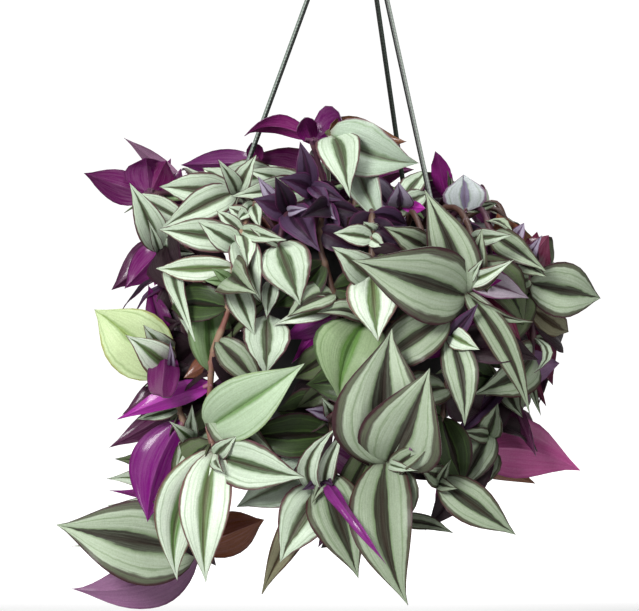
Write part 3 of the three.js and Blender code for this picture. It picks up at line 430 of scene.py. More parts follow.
def placedLeaves(stem, tips, last):
    taken, found = [], []
    for row in stem["leaves"]:
        base = placeOn(stem["points"], freeSpot(taken, row[0], last))
        found.append(asBuilt(readLeaf(row, base, growth["placedArch"]), tips))
    if None in found:
        print(stem["name"], "leaves not found:", found.count(None))
    for row in stem["young"]:
        base = placeOn(stem["points"], min(row[0], last))
        found.append(readLeaf(row, base, growth["youngArch"]))
    return [leaf for leaf in found if leaf]


def ruledLeaves(stem, tips, last, index):  # first those of the sides and back, then the extra ones
    found = []
    draws = drawsFrom("grown", index - len(frontStems))
    for j in range(stem["grown"]):
        share = (j + 0.6) / stem["grown"]
        size = 1 - growth["smaller"] * share
        rule = ruledLeaf(stem["points"], share * (last - 0.02), 1 if j % 2 else -1, size, draws, False)
        leaf = asBuilt(rule, tips)
        if leaf:
            found.append(dict(leaf, look=lookDraws.choice(grownLooks)))
    draws = drawsFrom("extra", index)
    low, high = spacing["firstExtra"], last - spacing["lastExtra"]
    for j in range(stem["extra"]):
        along = low + (j + 0.5) / stem["extra"] * (high - low)
        rule = ruledLeaf(stem["points"], along, 1 if j % 2 else -1, growth["extraSize"], draws, True)
        leaf = asBuilt(rule, tips)
        if leaf:
            inFront = (leaf["tip"] - eye).y < inFrontDepth
            # extra leaves behind the front ones are given dark looks as painted shade
            look = "grey" if inFront else lookDraws.choice(shadeLooks)
            found.append(dict(leaf, look=stem["seen"].get(j, look)))
    return found


def allStems():
    stems = [frontStem(row) for row in frontStems]
    stems += [aroundStem(row, i) for i, row in enumerate(aroundStems)]
    for i, stem in enumerate(stems):
        stem["name"] = f"leafy_stem_{i + 1:02d}"
        tips = nodeTips(stem["name"])
        last = len(stem["points"]) - len(rootDepths) - 1
        stem["found"] = placedLeaves(stem, tips, last) + ruledLeaves(stem, tips, last, i)
    return stems


class Graph:  # a few short ways to add and join shader nodes
    def __init__(self, tree):
        self.tree = tree

    def add(self, kind, **settings):
        node = self.tree.nodes.new(kind)
        for key, value in settings.items():
            setattr(node, key, value)
        return node

    def feed(self, socket, value):
        if isinstance(value, bpy.types.NodeSocket):
            self.tree.links.new(value, socket)
        else:
            socket.default_value = value

    def feedAll(self, node, values):
        for socket, value in zip(node.inputs, values):
            self.feed(socket, value)
        return node.outputs

    def feedNamed(self, sockets, values):
        for label, value in values.items():
            self.feed(sockets[label], value)

    def calc(self, operation, *values):
        return self.feedAll(self.add("ShaderNodeMath", operation=operation), values)[0]

    def times(self, a, b):
        return self.calc("MULTIPLY", a, b)

    def plus(self, a, b):
        return self.calc("ADD", a, b)

    def minus(self, a, b):
        return self.calc("SUBTRACT", a, b)

    def scaled(self, value, factor, start):
        return self.calc("MULTIPLY_ADD", value, factor, start)

    def ramp(self, value, low, high, toLow=0.0, toHigh=1.0):
        node = self.add("ShaderNodeMapRange", interpolation_type="SMOOTHSTEP")
        return self.feedAll(node, (value, low, high, toLow, toHigh))[0]

    def mix(self, share, a, b, blend="MIX"):
        node = self.add("ShaderNodeMix", data_type="RGBA", blend_type=blend)
        for i, value in ((0, share), (6, a), (7, b)):
            self.feed(node.inputs[i], value)
        return node.outputs[2]

    def noise(self, vector, scale, detail=2.0, roughness=0.5):
        node = self.add("ShaderNodeTexNoise")
        values = {"Vector": vector, "Scale": scale, "Detail": detail, "Roughness": roughness}
        self.feedNamed(node.inputs, values)
        return node.outputs[0]

    def vector(self, x, y, z):
        return self.feedAll(self.add("ShaderNodeCombineXYZ"), (x, y, z))[0]

    def parts(self, vector):
        return self.feedAll(self.add("ShaderNodeSeparateXYZ"), (vector,))

    def place(self):
        return self.add("ShaderNodeTexCoord").outputs["Object"]

    def attribute(self, name, output="Color"):
        return self.add("ShaderNodeAttribute", attribute_name=name).outputs[output]

    def bump(self, surface, height, strength, distance):
        node = self.add("ShaderNodeBump")
        self.feedNamed(node.inputs, {"Height": height, "Strength": strength, "Distance": distance})
        self.feed(surface["Normal"], node.outputs[0])


def newMaterial(name):  # with its graph and the inputs of its surface
    material = bpy.data.materials.new(name)
    material.use_nodes = True
    tree = material.node_tree
    return material, Graph(tree), tree.nodes["Principled BSDF"].inputs


def veinGroup():  # fine lines that run the length of a blade, and its cells, which give the bump and a painted glitter
    tree = bpy.data.node_groups.new("blade veins", "ShaderNodeTree")
    for label, kind in (("Blade", "NodeSocketVector"), ("Lines", "NodeSocketFloat")):
        tree.interface.new_socket(label, in_out="INPUT", socket_type=kind)
    for label in ("Streak", "Cells", "Across", "Along"):
        tree.interface.new_socket(label, in_out="OUTPUT", socket_type="NodeSocketFloat")
    g = Graph(tree)
    given, made = g.add("NodeGroupInput").outputs, g.add("NodeGroupOutput").inputs
    u, v, seed = g.parts(given["Blade"])
    streak = g.noise(g.vector(g.times(u, given["Lines"]), g.times(v, 2.2), seed), 1.0, 3.0, 0.65)
    wander = g.noise(g.vector(g.times(u, 2.5), g.times(v, 5.0), seed), 1.0, 2.0)
    shifted = g.plus(g.calc("ABSOLUTE", u), g.times(g.minus(wander, 0.5), 0.16))
    jitter = g.times(g.minus(streak, 0.5), 0.1)
    cells = g.add("ShaderNodeTexVoronoi")
    g.feedNamed(cells.inputs, {"Vector": g.place(), "Scale": 1500})
    g.feedNamed(made, {"Streak": g.ramp(streak, 0.3, 0.7), "Cells": cells.outputs["Color"],
                       "Across": g.plus(shifted, jitter), "Along": v})
    return tree


upperFace = {"lines": 19.0, "roughness": 0.4, "specular": 0.16, "coat": 0.05}
lowerFace = {"lines": 12.0, "roughness": 0.36, "specular": 0.14, "coat": 0.3}
leafSkin = {"ragged": 0.03, "paintedGlitter": (0.18, 0.9), "bump": 0.4, "bumpDepth": 0.0005, "coatRoughness": 0.16,
            "green": (0.1, 0.19, 0.045, 1.0), "pale": (1.0, 0.6, 0.85, 1.0)}


def upperColour(g, streak, across, along, margin, stripeWidth, greenness, rim):
    silver, dark = g.attribute("band"), g.attribute("stripe")
    ragged = leafSkin["ragged"]
    swell = g.calc("SINE", g.times(g.calc("POWER", along, 0.8), math.pi))
    wide = g.times(g.scaled(swell, 0.75, 0.35), stripeWidth)
    middle = g.ramp(across, g.plus(wide, ragged), g.minus(wide, ragged))
    core = g.ramp(across, g.times(wide, 0.6), g.times(wide, 0.1))
    flank = g.ramp(across, g.plus(wide, 0.13), wide)
    side = g.ramp(across, margin, g.plus(margin, ragged * 2.5))
    strip = g.ramp(g.calc("ABSOLUTE", g.minus(across, g.minus(margin, 0.14))), 0.05, 0.0)
    green = g.mix(g.times(greenness, 0.6), g.mix(0.4, silver, dark), leafSkin["green"])
    band = g.mix(g.times(streak, 0.6), silver, g.mix(0.5, silver, green))
    band = g.mix(g.times(flank, 0.8), band, green)
    band = g.mix(g.times(strip, 0.6), band, green)
    border = g.mix(g.times(streak, 0.4), g.mix(0.6, dark, rim), green)
    band = g.mix(g.times(side, 0.9), band, border)
    darkest = g.mix(0.55, g.mix(1.0, dark, dark, "MULTIPLY"), rim)
    stripe = g.mix(g.times(streak, 0.16), dark, silver)
    stripe = g.mix(g.times(core, 0.6), stripe, darkest)
    colour = g.mix(g.times(middle, 0.96), band, stripe)
    colour = g.mix(g.ramp(across, 0.9, 0.97), colour, rim)
    return g.mix(g.ramp(along, 0.1, 0.0, 0.0, 0.6), colour, rim)


def lowerColour(g, streak, across, margin, rim):
    under = g.attribute("under")
    pale = g.mix(0.14, under, leafSkin["pale"])
    colour = g.mix(g.times(streak, 0.4), under, pale)
    colour = g.mix(g.ramp(across, 0.04, 0.0, 0.0, 0.5), colour, pale)
    return g.mix(g.ramp(across, margin, 1.0, 0.0, 0.6), colour, rim)


def leafMaterial(name, face, veins):
    material, g, surface = newMaterial(name)
    group = g.add("ShaderNodeGroup", node_tree=veins)
    g.feedNamed(group.inputs, {"Blade": g.attribute("blade", "Vector"), "Lines": face["lines"]})
    streak, cells, across, along = group.outputs
    margin, stripeWidth, greenness = g.parts(g.attribute("form", "Vector"))
    rim = g.attribute("rim")
    if face is upperFace:
        colour = upperColour(g, streak, across, along, margin, stripeWidth, greenness, rim)
    else:
        colour = lowerColour(g, streak, across, margin, rim)
    # the cells lighten and darken the colour in specks as painted glitter
    paintedGlints = g.scaled(cells, *leafSkin["paintedGlitter"])
    g.feedNamed(surface, {
        "Base Color": g.mix(1.0, colour, g.vector(paintedGlints, paintedGlints, paintedGlints), "MULTIPLY"),
        "Roughness": g.scaled(streak, 0.14, face["roughness"] - 0.06),
        "Specular IOR Level": face["specular"],
        "Coat Weight": face["coat"],
        "Coat Roughness": leafSkin["coatRoughness"],
    })
    height = g.plus(g.times(streak, 0.7), g.times(cells, 0.25))
    g.bump(surface, height, leafSkin["bump"], leafSkin["bumpDepth"])
    return material


def stalkMaterial():
    material, g, surface = newMaterial("stalk skin")
    joint = g.ramp(g.parts(g.attribute("blade", "Vector"))[0], 0.2, 0.9)  # 1 at the joints
    place = g.place()
    stretched = g.add("ShaderNodeVectorMath", operation="MULTIPLY")
    lines = g.noise(g.feedAll(stretched, (place, (1.0, 1.0, 0.12)))[0], 1400.0, 3.0)
    blotch = g.noise(place, 160.0, 2.0)
    colour = g.mix(g.times(lines, 0.5), g.attribute("band"), g.attribute("stripe"))
    colour = g.mix(g.ramp(blotch, 0.5, 0.75, 0.0, 0.5), colour, g.attribute("under"))
    g.feedNamed(surface, {"Base Color": g.mix(joint, colour, g.attribute("rim")), "Roughness": 0.5})
    g.bump(surface, lines, 0.25, 0.0004)
    return material


def plainMaterial(name, colour, second, roughness, scale, bumpiness):  # two shades in a fine grain
    material, g, surface = newMaterial(name)
    grain = g.noise(g.place(), scale, 5.0, 0.6)
    colours = g.mix(g.ramp(grain, 0.35, 0.7), (*linear(*colour), 1.0), (*linear(*second), 1.0))
    g.feedNamed(surface, {"Base Color": colours, "Roughness": g.scaled(grain, 0.15, roughness - 0.07)})
    g.bump(surface, grain, bumpiness, 0.001)
    return material


def newObject(name, bm, materials):
    mesh = bpy.data.meshes.new(name)
    bm.to_mesh(mesh)
    bm.free()
    for material in materials:
        mesh.materials.append(material)
    thing = bpy.data.objects.new(name, mesh)
    bpy.context.scene.collection.objects.link(thing)
    return thing


def newPiece(name, bm, materials, nodes):
    piece = newObject(name, bm, materials)
    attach(piece, "root")
    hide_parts(*nodes)


def sweep(bm, path, radii, sides):  # a round tube with closed ends; gives back its rings
    ring = bmesh.ops.create_circle(bm, cap_ends=True, segments=sides, radius=1)["verts"]
    shape = [v.co.copy() for v in ring]
    edges = list({e for v in ring for e in v.link_edges})
    front = Vector((0, 1, 0)) if abs((path[1] - path[0]).normalized().y) < 0.9 else Vector((1, 0, 0))
    rings = []
    for i, (centre, radius) in enumerate(zip(path, radii)):
        heading = (path[min(i + 1, len(path) - 1)] - path[max(i - 1, 0)]).normalized()
        front = (front - heading * front.dot(heading)).normalized()
        other = heading.cross(front)
        if i:
            geom = bmesh.ops.extrude_edge_only(bm, edges=edges)["geom"]
            ring = [g for g in geom if isinstance(g, bmesh.types.BMVert)]
            fresh = [g for g in geom if isinstance(g, bmesh.types.BMEdge)]
            edges = [e for e in fresh if all(v in ring for v in e.verts)]
        for v, flat in zip(ring, shape):
            v.co = inFrame(centre + (front * flat.x + other * flat.y) * radius)
        rings.append(ring)
    bmesh.ops.contextual_create(bm, geom=edges)
    return rings


def lathe(bm, profile, segments):  # a profile of (radius, height above the rim)
    line = [bm.verts.new(inFrame((radius, 0, z))) for radius, z in profile]
    edges = [bm.edges.new(pair) for pair in zip(line, line[1:])]
    bmesh.ops.spin(bm, geom=line + edges, cent=(0, 0, 0), axis=(0, 0, 1), angle=2 * math.pi,
                   steps=segments, use_merge=True)
    bmesh.ops.remove_doubles(bm, verts=bm.verts[:], dist=1e-6)


def shadeSmooth(bm):
    sharpAngle = 0.6  # radians
    bmesh.ops.recalc_face_normals(bm, faces=bm.faces[:])
    for face in bm.faces:
        face.smooth = True
    for edge in bm.edges:
        edge.smooth = edge.calc_face_angle(0) < sharpAngle


colourKeys = ("band", "stripe", "rim", "under")  # on a stalk: its skin, lines, joints and blush


def paint(vert, layers, place, colours):
    vert[layers["blade"]] = Vector(place)
    for key, colour in zip(colourKeys, colours):
        vert[layers[key]] = (*colour, 1.0)


# thickness, clasp, point, footDepth and lengths in mm, most others as shares of the length or half width;
# plump is how much wider the blades are than those of the solids
blade = {
    "thickness": 0.45, "cup": 0.36, "bulge": 0.14, "droop": 0.06, "twist": 0.3, "skew": 0.03,
    "wave": 0.025, "waveRange": (0.4, 1.2), "beats": (1.2, 2.2),
    "plump": 1.09, "clasp": 0.9, "claspShare": 0.06, "point": 0.02, "footDepth": 0.6,
    "lengths": (34, 62), "rows": (6, 10, 16), "columns": (4, 6, 8), "crowding": 1.15, "sharpFold": 0.9,
}
variety = {"margin": (-0.04, 0.03), "stripeWidth": (0.8, 1.25), "light": (0.88, 1.08),
           "bandMix": (0, 0.14), "stripeMix": (0, 0.3), "under": (0.85, 1.15)}


def halfWidth(width, share):  # widest in its lower half, with a clasping foot and a drawn-out tip
    if share > 0.999:
        return blade["point"]
    outline = math.sin(math.pi * share ** 0.72) ** (0.78 + 0.5 * share * share)
    least = blade["clasp"] if share < blade["claspShare"] else 0
    return max(blade["plump"] * width / 2 * outline, least)


def bladeAxes(leaf):  # its length, and the directions along it, across it and out of its upper face
    chord = leaf["tip"] - leaf["base"]
    along = chord.normalized()
    facing = leaf["facing"]
    towards = (facing - along * facing.dot(along)).normalized()
    turn = math.radians(leaf["turn"])
    out = towards * math.cos(turn) + along.cross(towards) * math.sin(turn)
    return chord.length, along, out.cross(along), out


def bladeColours(look, draws):  # each leaf differs a little from its look
    *colours, margin, stripeWidth = looks[look]
    band, stripe, rim, under = (linear(*c) for c in colours)
    greenness = float(band[1] > band[0])
    margin += draws.uniform(*variety["margin"])
    stripeWidth *= draws.uniform(*variety["stripeWidth"])
    light = draws.uniform(*variety["light"])
    band = tuple(c * light for c in mixed(band, stripe, draws.uniform(*variety["bandMix"])))
    stripe = mixed(stripe, rim, draws.uniform(*variety["stripeMix"]))
    under = tuple(c * draws.uniform(*variety["under"]) for c in under)
    return Vector((margin, stripeWidth, greenness)), (band, stripe, rim, under)


def thicken(bm, grid, out):  # a thin shell, its upper skin on the side of out
    faces = list({f for v in grid for f in v.link_faces})
    for part in (*faces, *grid):
        part.normal_update()
    shell = bmesh.ops.solidify(bm, geom=faces, thickness=blade["thickness"] * mm)
    skin = list({f for f in shell["geom"] if isinstance(f, bmesh.types.BMFace)} | set(faces))
    for face in skin:
        face.normal_update()
    middle = skin[0].calc_center_median()
    if sum(f.normal.dot(f.calc_center_median() - middle) * f.calc_area() for f in skin) < 0:
        bmesh.ops.reverse_faces(bm, faces=skin)
    for face in skin:
        face.normal_update()
        face.smooth = True
        face.material_index = 1 if face.normal.dot(out) > 0 else 2
    for edge in {e for f in skin for e in f.edges}:
        if edge.is_manifold and edge.calc_face_angle(0) > blade["sharpFold"]:
            edge.smooth = False


def addBlade(bm, layers, leaf, seed):
    draws = random.Random(seed)
    length, along, across, out = bladeAxes(leaf)
    size = sum(length >= limit for limit in blade["lengths"])
    wave = blade["wave"] * length * draws.uniform(*blade["waveRange"])
    beats = draws.uniform(*blade["beats"])
    phases = [draws.uniform(0, fullTurn) for _ in range(2)]
    skew = draws.uniform(-blade["skew"], blade["skew"]) * length
    twist = blade["twist"] * draws.uniform(-1, 1)
    form, colours = bladeColours(leaf["look"], draws)
    mark = draws.uniform(0, 50)
    columns, rows = blade["columns"][size], blade["rows"][size]
    grid = bmesh.ops.create_grid(bm, x_segments=columns, y_segments=rows, size=1)["verts"]
    for vert in grid:
        u, row = vert.co.x, (vert.co.y + 1) / 2
        share = row ** blade["crowding"]
        half = halfWidth(leaf["width"], share)
        hump = 4 * share * (1 - share)
        edge = abs(u) ** 1.2
        lift = leaf["arch"] * hump + blade["cup"] * half * edge
        lift += wave * math.sin(beats * fullTurn * share + phases[u > 0]) * edge * edge * hump
        lift += blade["bulge"] * half * math.sin(math.pi * abs(u))
        lift += blade["droop"] * length * (0.25 - (share - 0.5) ** 2) * share * 0.6
        bend = twist * (share - 0.35)
        point = leaf["base"] + along * (length * share - (1 - row) * blade["footDepth"])
        point += across * (leaf["bow"] * hump + skew * hump * share + u * half * math.cos(bend))
        point += out * (lift + u * half * math.sin(bend))
        vert.co = inFrame(point)
        vert[layers["form"]] = form
        paint(vert, layers, (u, share, mark), colours)
    thicken(bm, grid, out)


stalks = {  # skin, lines, joints and blush of each kind of stem
    "pink": ((138, 92, 80), (98, 56, 54), (150, 122, 100), (112, 58, 58)),
    "green": ((84, 92, 58), (62, 70, 40), (104, 84, 66), (84, 60, 50)),
    "purple": ((74, 38, 54), (48, 22, 36), (96, 66, 70), (60, 26, 44)),
    "brown": ((76, 50, 40), (50, 32, 28), (100, 78, 62), (62, 36, 32)),
}
stalk = {"radius": 1.7, "swell": 0.55, "jointReach": 4, "step": 5, "sides": 9}
sheath = {"length": 5.5, "foot": 2.0, "mouth": 1.1, "sides": 7, "leastLeaf": 9, "papery": (0.8, 0.7, 0.7)}


def addStalk(bm, layers, stem):
    points = stem["points"]
    fine = [onCurve(points, i / 400) for i in range(401)]
    length = sum((b - a).length for a, b in zip(fine, fine[1:]))
    steps = max(8, round(length / stalk["step"]))
    path = [onCurve(points, i / steps) for i in range(steps + 1)]
    joints, radii = [], []
    for i, centre in enumerate(path):
        near = min(((centre - leaf["base"]).length for leaf in stem["found"]), default=99)
        joints.append(max(0.0, 1 - near / stalk["jointReach"]))
        radii.append(stalk["radius"] * (1 - 0.25 * max(0, i / steps - 0.6)) + stalk["swell"] * joints[-1])
    colours = [linear(*c) for c in stalks[stem["stalk"]]]
    for i, ring in enumerate(sweep(bm, path, radii, stalk["sides"])):
        for v in ring:
            paint(v, layers, (joints[i], i / steps, 0), colours)
    for face in bm.faces:
        face.smooth = len(face.verts) == 4
    bmesh.ops.recalc_face_normals(bm, faces=bm.faces[:])


def addSheath(bm, layers, leaf, skin):  # the papery sleeve at a leaf's foot
    before = set(bm.verts)
    heading = (leaf["tip"] - leaf["base"]).normalized()
    turned = heading.to_track_quat("Z", "Y").to_matrix().to_4x4()
    foot = Matrix.Translation(inFrame(leaf["base"] + heading * sheath["length"] * 0.3))
    bmesh.ops.create_cone(bm, cap_ends=True, segments=sheath["sides"], radius1=sheath["foot"] * mm,
                          radius2=sheath["mouth"] * mm, depth=sheath["length"] * mm, matrix=foot @ turned)
    under = linear(*looks[leaf["look"]][3])
    colours = (mixed(skin, under, 0.35), mixed(skin, under, 0.6), mixed(skin, sheath["papery"], 0.3), under)
    fresh = [v for v in bm.verts if v not in before]
    for v in fresh:
        paint(v, layers, (0.4, 0.5, 0), colours)
    for face in {f for v in fresh for f in v.link_faces}:
        face.smooth = len(face.verts) == 4


def makeLeafyStem(stem, materials, index):
    bm = bmesh.new()
    layers = {key: bm.verts.layers.float_vector.new(key) for key in ("blade", "form")}
    for key in colourKeys:
        layers[key] = bm.verts.layers.float_color.new(key)
    addStalk(bm, layers, stem)
    skin = linear(*stalks[stem["stalk"]][0])
    for j, leaf in enumerate(stem["found"]):
        if leaf["width"] > sheath["leastLeaf"]:
            addSheath(bm, layers, leaf, skin)
        addBlade(bm, layers, leaf, index * 1000 + j)
    newPiece(f"leafyStem{index + 1:02d}", bm, materials, [stem["name"]])


stems = allStems()
print("leaves found:", sum(len(s["found"]) for s in stems))
veins = veinGroup()
leafSkins = [stalkMaterial(), leafMaterial("leaf upper face", upperFace, veins),
             leafMaterial("leaf lower face", lowerFace, veins)]
for index, stem in enumerate(stems):
    makeLeafyStem(stem, leafSkins, index)
print("leafy stems made")

# the pot is black plastic, made darker still as painted shade so that it reads as shadow among the leaves
pot = {"flange": 86, "wall": 74, "foot": 57, "height": 116, "thick": 1.8, "lip": 9, "flangeThick": 2,
       "chamfer": 0.8, "footChamfer": (4, 3), "segments": 96,
       "skin": ((18, 20, 17), (26, 28, 24), 0.6, 300.0, 0.1)}  # two shades, roughness, grain, bumpiness


def makePot():
    thick, bottom, lip, under = pot["thick"], -pot["height"], -pot["lip"], -pot["flangeThick"]
    flange, wall, foot, chamfer = pot["flange"], pot["wall"], pot["foot"], pot["chamfer"]
    inwards, upwards = pot["footChamfer"]
    profile = [(0, bottom), (foot - inwards, bottom), (foot, bottom + upwards), (wall, lip), (wall, under),
               (flange - thick, under), (flange - thick, lip), (flange, lip), (flange, -chamfer),
               (flange - chamfer, 0), (wall - thick, 0), (wall - thick, lip),
               (foot - thick, bottom + thick), (0, bottom + thick)]
    bm = bmesh.new()
    lathe(bm, profile, pot["segments"])
    shadeSmooth(bm)
    newPiece("potShell", bm, [plainMaterial("black pot plastic and painted shade", *pot["skin"])], ["pot"])


soil = {"radius": 70, "level": -17, "mound": 4, "uneven": 1.4, "bottom": -60, "taper": 0.9,
        "rings": (4, 7, 10, 12, 14, 12), "crumbs": 420, "crumbReach": 67, "crumbSizes": (0.7, 2.1),
        "crumbLift": 0.6, "perliteShare": 0.12, "peat": ((46, 32, 24), (74, 54, 40), 0.95, 500.0, 0.8),
        "perlite": ((214, 210, 200), (180, 176, 168), 0.9, 900.0, 0.4)}


def moundAt(radius):
    return soil["mound"] * (1 - radius / soil["radius"])


def addCrumbs(bm):
    crumbs = random.Random(5)
    for _ in range(soil["crumbs"]):
        radius, angle = soil["crumbReach"] * math.sqrt(crumbs.random()), crumbs.uniform(0, fullTurn)
        height = soil["level"] + moundAt(radius) + soil["crumbLift"]
        spot = inFrame((radius * math.cos(angle), radius * math.sin(angle), height))
        size = crumbs.uniform(*soil["crumbSizes"]) * mm
        perlite = crumbs.random() < soil["perliteShare"]
        made = bmesh.ops.create_icosphere(bm, subdivisions=1, radius=size, matrix=Matrix.Translation(spot))
        for face in {f for v in made["verts"] for f in v.link_faces}:
            face.material_index = int(perlite)


def makeSoil():
    bm = bmesh.new()
    bmesh.ops.create_circle(bm, cap_ends=True, segments=64, radius=soil["radius"] * mm,
                            matrix=Matrix.Translation(inFrame((0, 0, soil["level"]))))
    for inset in soil["rings"]:
        top = [f for f in bm.faces if len(f.verts) > 4]
        bmesh.ops.inset_region(bm, faces=top, thickness=inset * mm, depth=0)
    rim = [e for e in bm.edges if e.is_boundary]
    for v in bm.verts:
        v.co.z += (moundAt(v.co.xy.length / mm) + soil["uneven"] * noise.noise(v.co * 90)) * mm
    low = bmesh.ops.extrude_edge_only(bm, edges=rim)["geom"]
    for v in (g for g in low if isinstance(g, bmesh.types.BMVert)):
        v.co.z = (rimHeight + soil["bottom"]) * mm
        v.co.xy *= soil["taper"]
    bmesh.ops.contextual_create(bm, geom=[g for g in low if isinstance(g, bmesh.types.BMEdge)])
    bmesh.ops.recalc_face_normals(bm, faces=bm.faces[:])
    addCrumbs(bm)
    skins = [plainMaterial(name, *soil[name]) for name in ("peat", "perlite")]
    newPiece("pottingSoil", bm, skins, ["soil"])


apexHeight = 214  # mm above the rim, where the lines of the three rods meet
# lights: each rod's own painted lit side; dark: its painted shaded side, which the fine ribs also darken
# towards
rod = {"radius": 1.5, "rimRadius": 79, "turn": 185, "top": 9, "ball": 2.4, "ballDrop": 2.35, "sides": 14,
       "steps": 10, "lights": ((118, 130, 120), (150, 158, 150), (50, 60, 52)), "dark": (30, 34, 30)}


def rodMaterial(index):  # fine ribs, and a painted highlight down one side, the other side painted in shade
    material, g, surface = newMaterial(f"hanger rod {index + 1}")
    ribs = g.add("ShaderNodeTexWave", wave_type="BANDS", bands_direction="Z")
    g.feedNamed(ribs.inputs, {"Vector": g.place(), "Scale": 160, "Distortion": 1.5})
    light, dark = ((*linear(*c), 1.0) for c in (rod["lights"][index], rod["dark"]))
    # one side of the rod is painted lighter as a highlight, the other painted darker as shade
    colour = g.mix(g.ramp(g.attribute("side", "Fac"), -0.1, 0.25), dark, light)
    colour = g.mix(g.times(ribs.outputs["Fac"], 0.25), colour, dark)
    g.feedNamed(surface, {"Base Color": colour, "Roughness": 0.4})
    g.bump(surface, ribs.outputs["Fac"], 0.3, 0.0003)
    return material


def rodPoint(angle, belowApex):
    reach = rod["rimRadius"] / apexHeight * belowApex
    return Vector((math.cos(angle) * reach, math.sin(angle) * reach, apexHeight - belowApex))


def makeRods():
    for i in range(3):
        angle = math.radians(rod["turn"] + i * 120)
        low = rodPoint(angle, apexHeight + rod["ballDrop"] + rod["ball"])
        high = rodPoint(angle, rod["top"])
        path = [low.lerp(high, t / rod["steps"]) for t in range(rod["steps"] + 1)]
        bm = bmesh.new()
        sweep(bm, path, [rod["radius"]] * len(path), rod["sides"])
        shadeSmooth(bm)
        bmesh.ops.create_uvsphere(bm, u_segments=16, v_segments=10, radius=rod["ball"] * mm,
                                  matrix=Matrix.Translation(inFrame(low)))
        # side: how far round the rod each point lies, which places the painted lit and shaded sides
        side = bm.verts.layers.float.new("side")
        line = (high - low).normalized()
        paintedLitSide = -1 if i == 0 else 1
        for v in bm.verts:
            offset = (v.co - inFrame(low)) / mm
            offset -= line * offset.dot(line)
            v[side] = offset.x / rod["radius"] * paintedLitSide
        newPiece(f"hangerRod{i + 1}", bm, [rodMaterial(i)], [f"hanger_rod_{i + 1}"])


hook = {"radius": 13.2, "wire": 2.2, "from": -40, "to": 205, "turns": 9, "sides": 16, "steps": 60,
        "rise": ((0, -5), (0, 3), (3.2, 9)), "collar": 11, "neck": 5, "height": 20, "skirt": 4,
        "belowApex": 2, "chamfer": 0.8, "shoulder": (1.5, 2), "segments": 40,
        "skin": ((52, 58, 52), (66, 72, 64), 0.42, 400.0, 0.08)}


def makeHook():
    top = apexHeight - hook["belowApex"]
    bottom = top - hook["height"]
    path = [Vector((x, 0, top + z)) for x, z in hook["rise"]]
    centre = -rimHeight - (hook["radius"] - hook["wire"])  # the frame's origin is the crook's inner top
    for i in range(hook["turns"] + 1):
        angle = math.radians(hook["from"] + (hook["to"] - hook["from"]) * i / hook["turns"])
        path.append(Vector((hook["radius"] * math.cos(angle), 0, centre + hook["radius"] * math.sin(angle))))
    bm = bmesh.new()
    wire = [onCurve(path, i / hook["steps"]) for i in range(hook["steps"] + 1)]
    sweep(bm, wire, [hook["wire"]] * len(wire), hook["sides"])
    collar, neck, chamfer = hook["collar"], hook["neck"], hook["chamfer"]
    inwards, down = hook["shoulder"]
    profile = [(0, bottom), (collar - chamfer, bottom), (collar, bottom + chamfer),
               (collar, bottom + hook["skirt"]), (neck, top - down), (neck - inwards, top), (0, top)]
    lathe(bm, profile, hook["segments"])
    shadeSmooth(bm)
    newPiece("hookWire", bm, [plainMaterial("hanger plastic", *hook["skin"])], ["hook"])


makePot()
makeSoil()
makeRods()
makeHook()
print("pot, soil, rods and hook made")

# in metres; the floor's painted glow, seen by the camera alone, grows with the distance behind the pot,
# between near and far, so the front is left in painted shade
stage = {"drop": 0.62, "reach": 60.0, "shade": (190, 190, 190), "near": 0.7, "far": 0.86,
         "paintedGlow": (0.42, 1.0)}


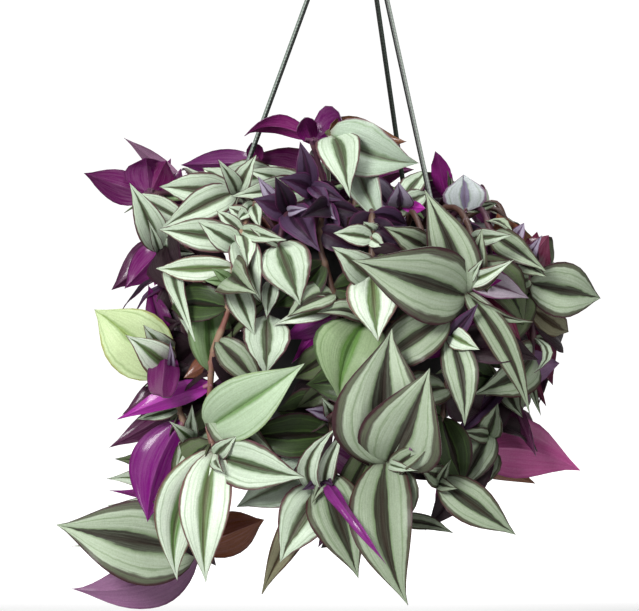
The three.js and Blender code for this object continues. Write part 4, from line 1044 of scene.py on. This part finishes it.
def makeStage():
    material, g, surface = newMaterial("white floor")
    # the floor glows for camera rays only, as painted light, and is fainter near the front as painted shade
    paintedGlow = g.ramp(g.parts(g.place())[1], stage["near"], stage["far"], *stage["paintedGlow"])
    seenDirectly = g.add("ShaderNodeLightPath").outputs["Is Camera Ray"]
    g.feedNamed(surface, {"Base Color": (*linear(*stage["shade"]), 1.0), "Roughness": 0.9,
                          "Emission Strength": g.times(paintedGlow, seenDirectly), "Emission Color": (1, 1, 1, 1)})
    bm = bmesh.new()
    bmesh.ops.create_grid(bm, x_segments=1, y_segments=1, size=stage["reach"],
                          matrix=Matrix.Translation((0, 0, -stage["drop"])))
    floor = newObject("floor", bm, [material])


# place and size in metres, power in watts
lights = {
    "key": ((-0.9, -1.6, 0.6), 0.6, 43.0), "fill": ((1.3, -1.3, 0.1), 1.0, 6.0),
    "top": ((0.1, -0.2, 1.4), 0.8, 20.0), "back": ((0.4, 1.6, 0.4), 1.2, 6.0),
}
lampAim = (0, 0, -0.33)
sky = {"behind": 0.9, "around": 0.15}  # the camera sees both, the plant is lit by what is around


def addLooking(name, data, place, aim):  # a lamp or camera that faces its aim
    thing = bpy.data.objects.new(name, data)
    thing.location = place
    thing.rotation_euler = (Vector(aim) - Vector(place)).to_track_quat("-Z", "Y").to_euler()
    bpy.context.scene.collection.objects.link(thing)
    return thing


def makeLights():
    for name, (place, size, power) in lights.items():
        data = bpy.data.lights.new(name, "AREA")
        data.size = size
        data.energy = power
        addLooking(name, data, place, lampAim)
    world = bpy.data.worlds.new("studio")
    world.use_nodes = True
    bpy.context.scene.world = world
    g = Graph(world.node_tree)
    shell = world.node_tree.nodes["Background"].inputs
    seenDirectly = g.add("ShaderNodeLightPath").outputs["Is Camera Ray"]
    strength = g.scaled(seenDirectly, sky["behind"], sky["around"])
    g.feedNamed(shell, {"Strength": strength, "Color": (1, 1, 1, 1)})


# mm off the rim's centre; the photo is 639 px wide at 0.6 mm per px on the hanger's plane
view = {"from": (-22.3, -1600, 64), "to": (-22.3, 0, -48.3), "sensor": 36, "pixels": 639, "pixel": 0.6}


def makeCamera():
    data = bpy.data.cameras.new("camera")
    data.sensor_width = view["sensor"]
    spot, aim = inFrame(view["from"]), inFrame(view["to"])
    data.lens = view["sensor"] / (view["pixels"] * view["pixel"] * mm) * (aim - spot).length
    bpy.context.scene.camera = addLooking("camera", data, spot, aim)


makeStage()
makeLights()
makeCamera()
bpy.context.scene.view_settings.view_transform = "Standard"
bpy.context.view_layer.update()
print("stage, lights and camera ready")
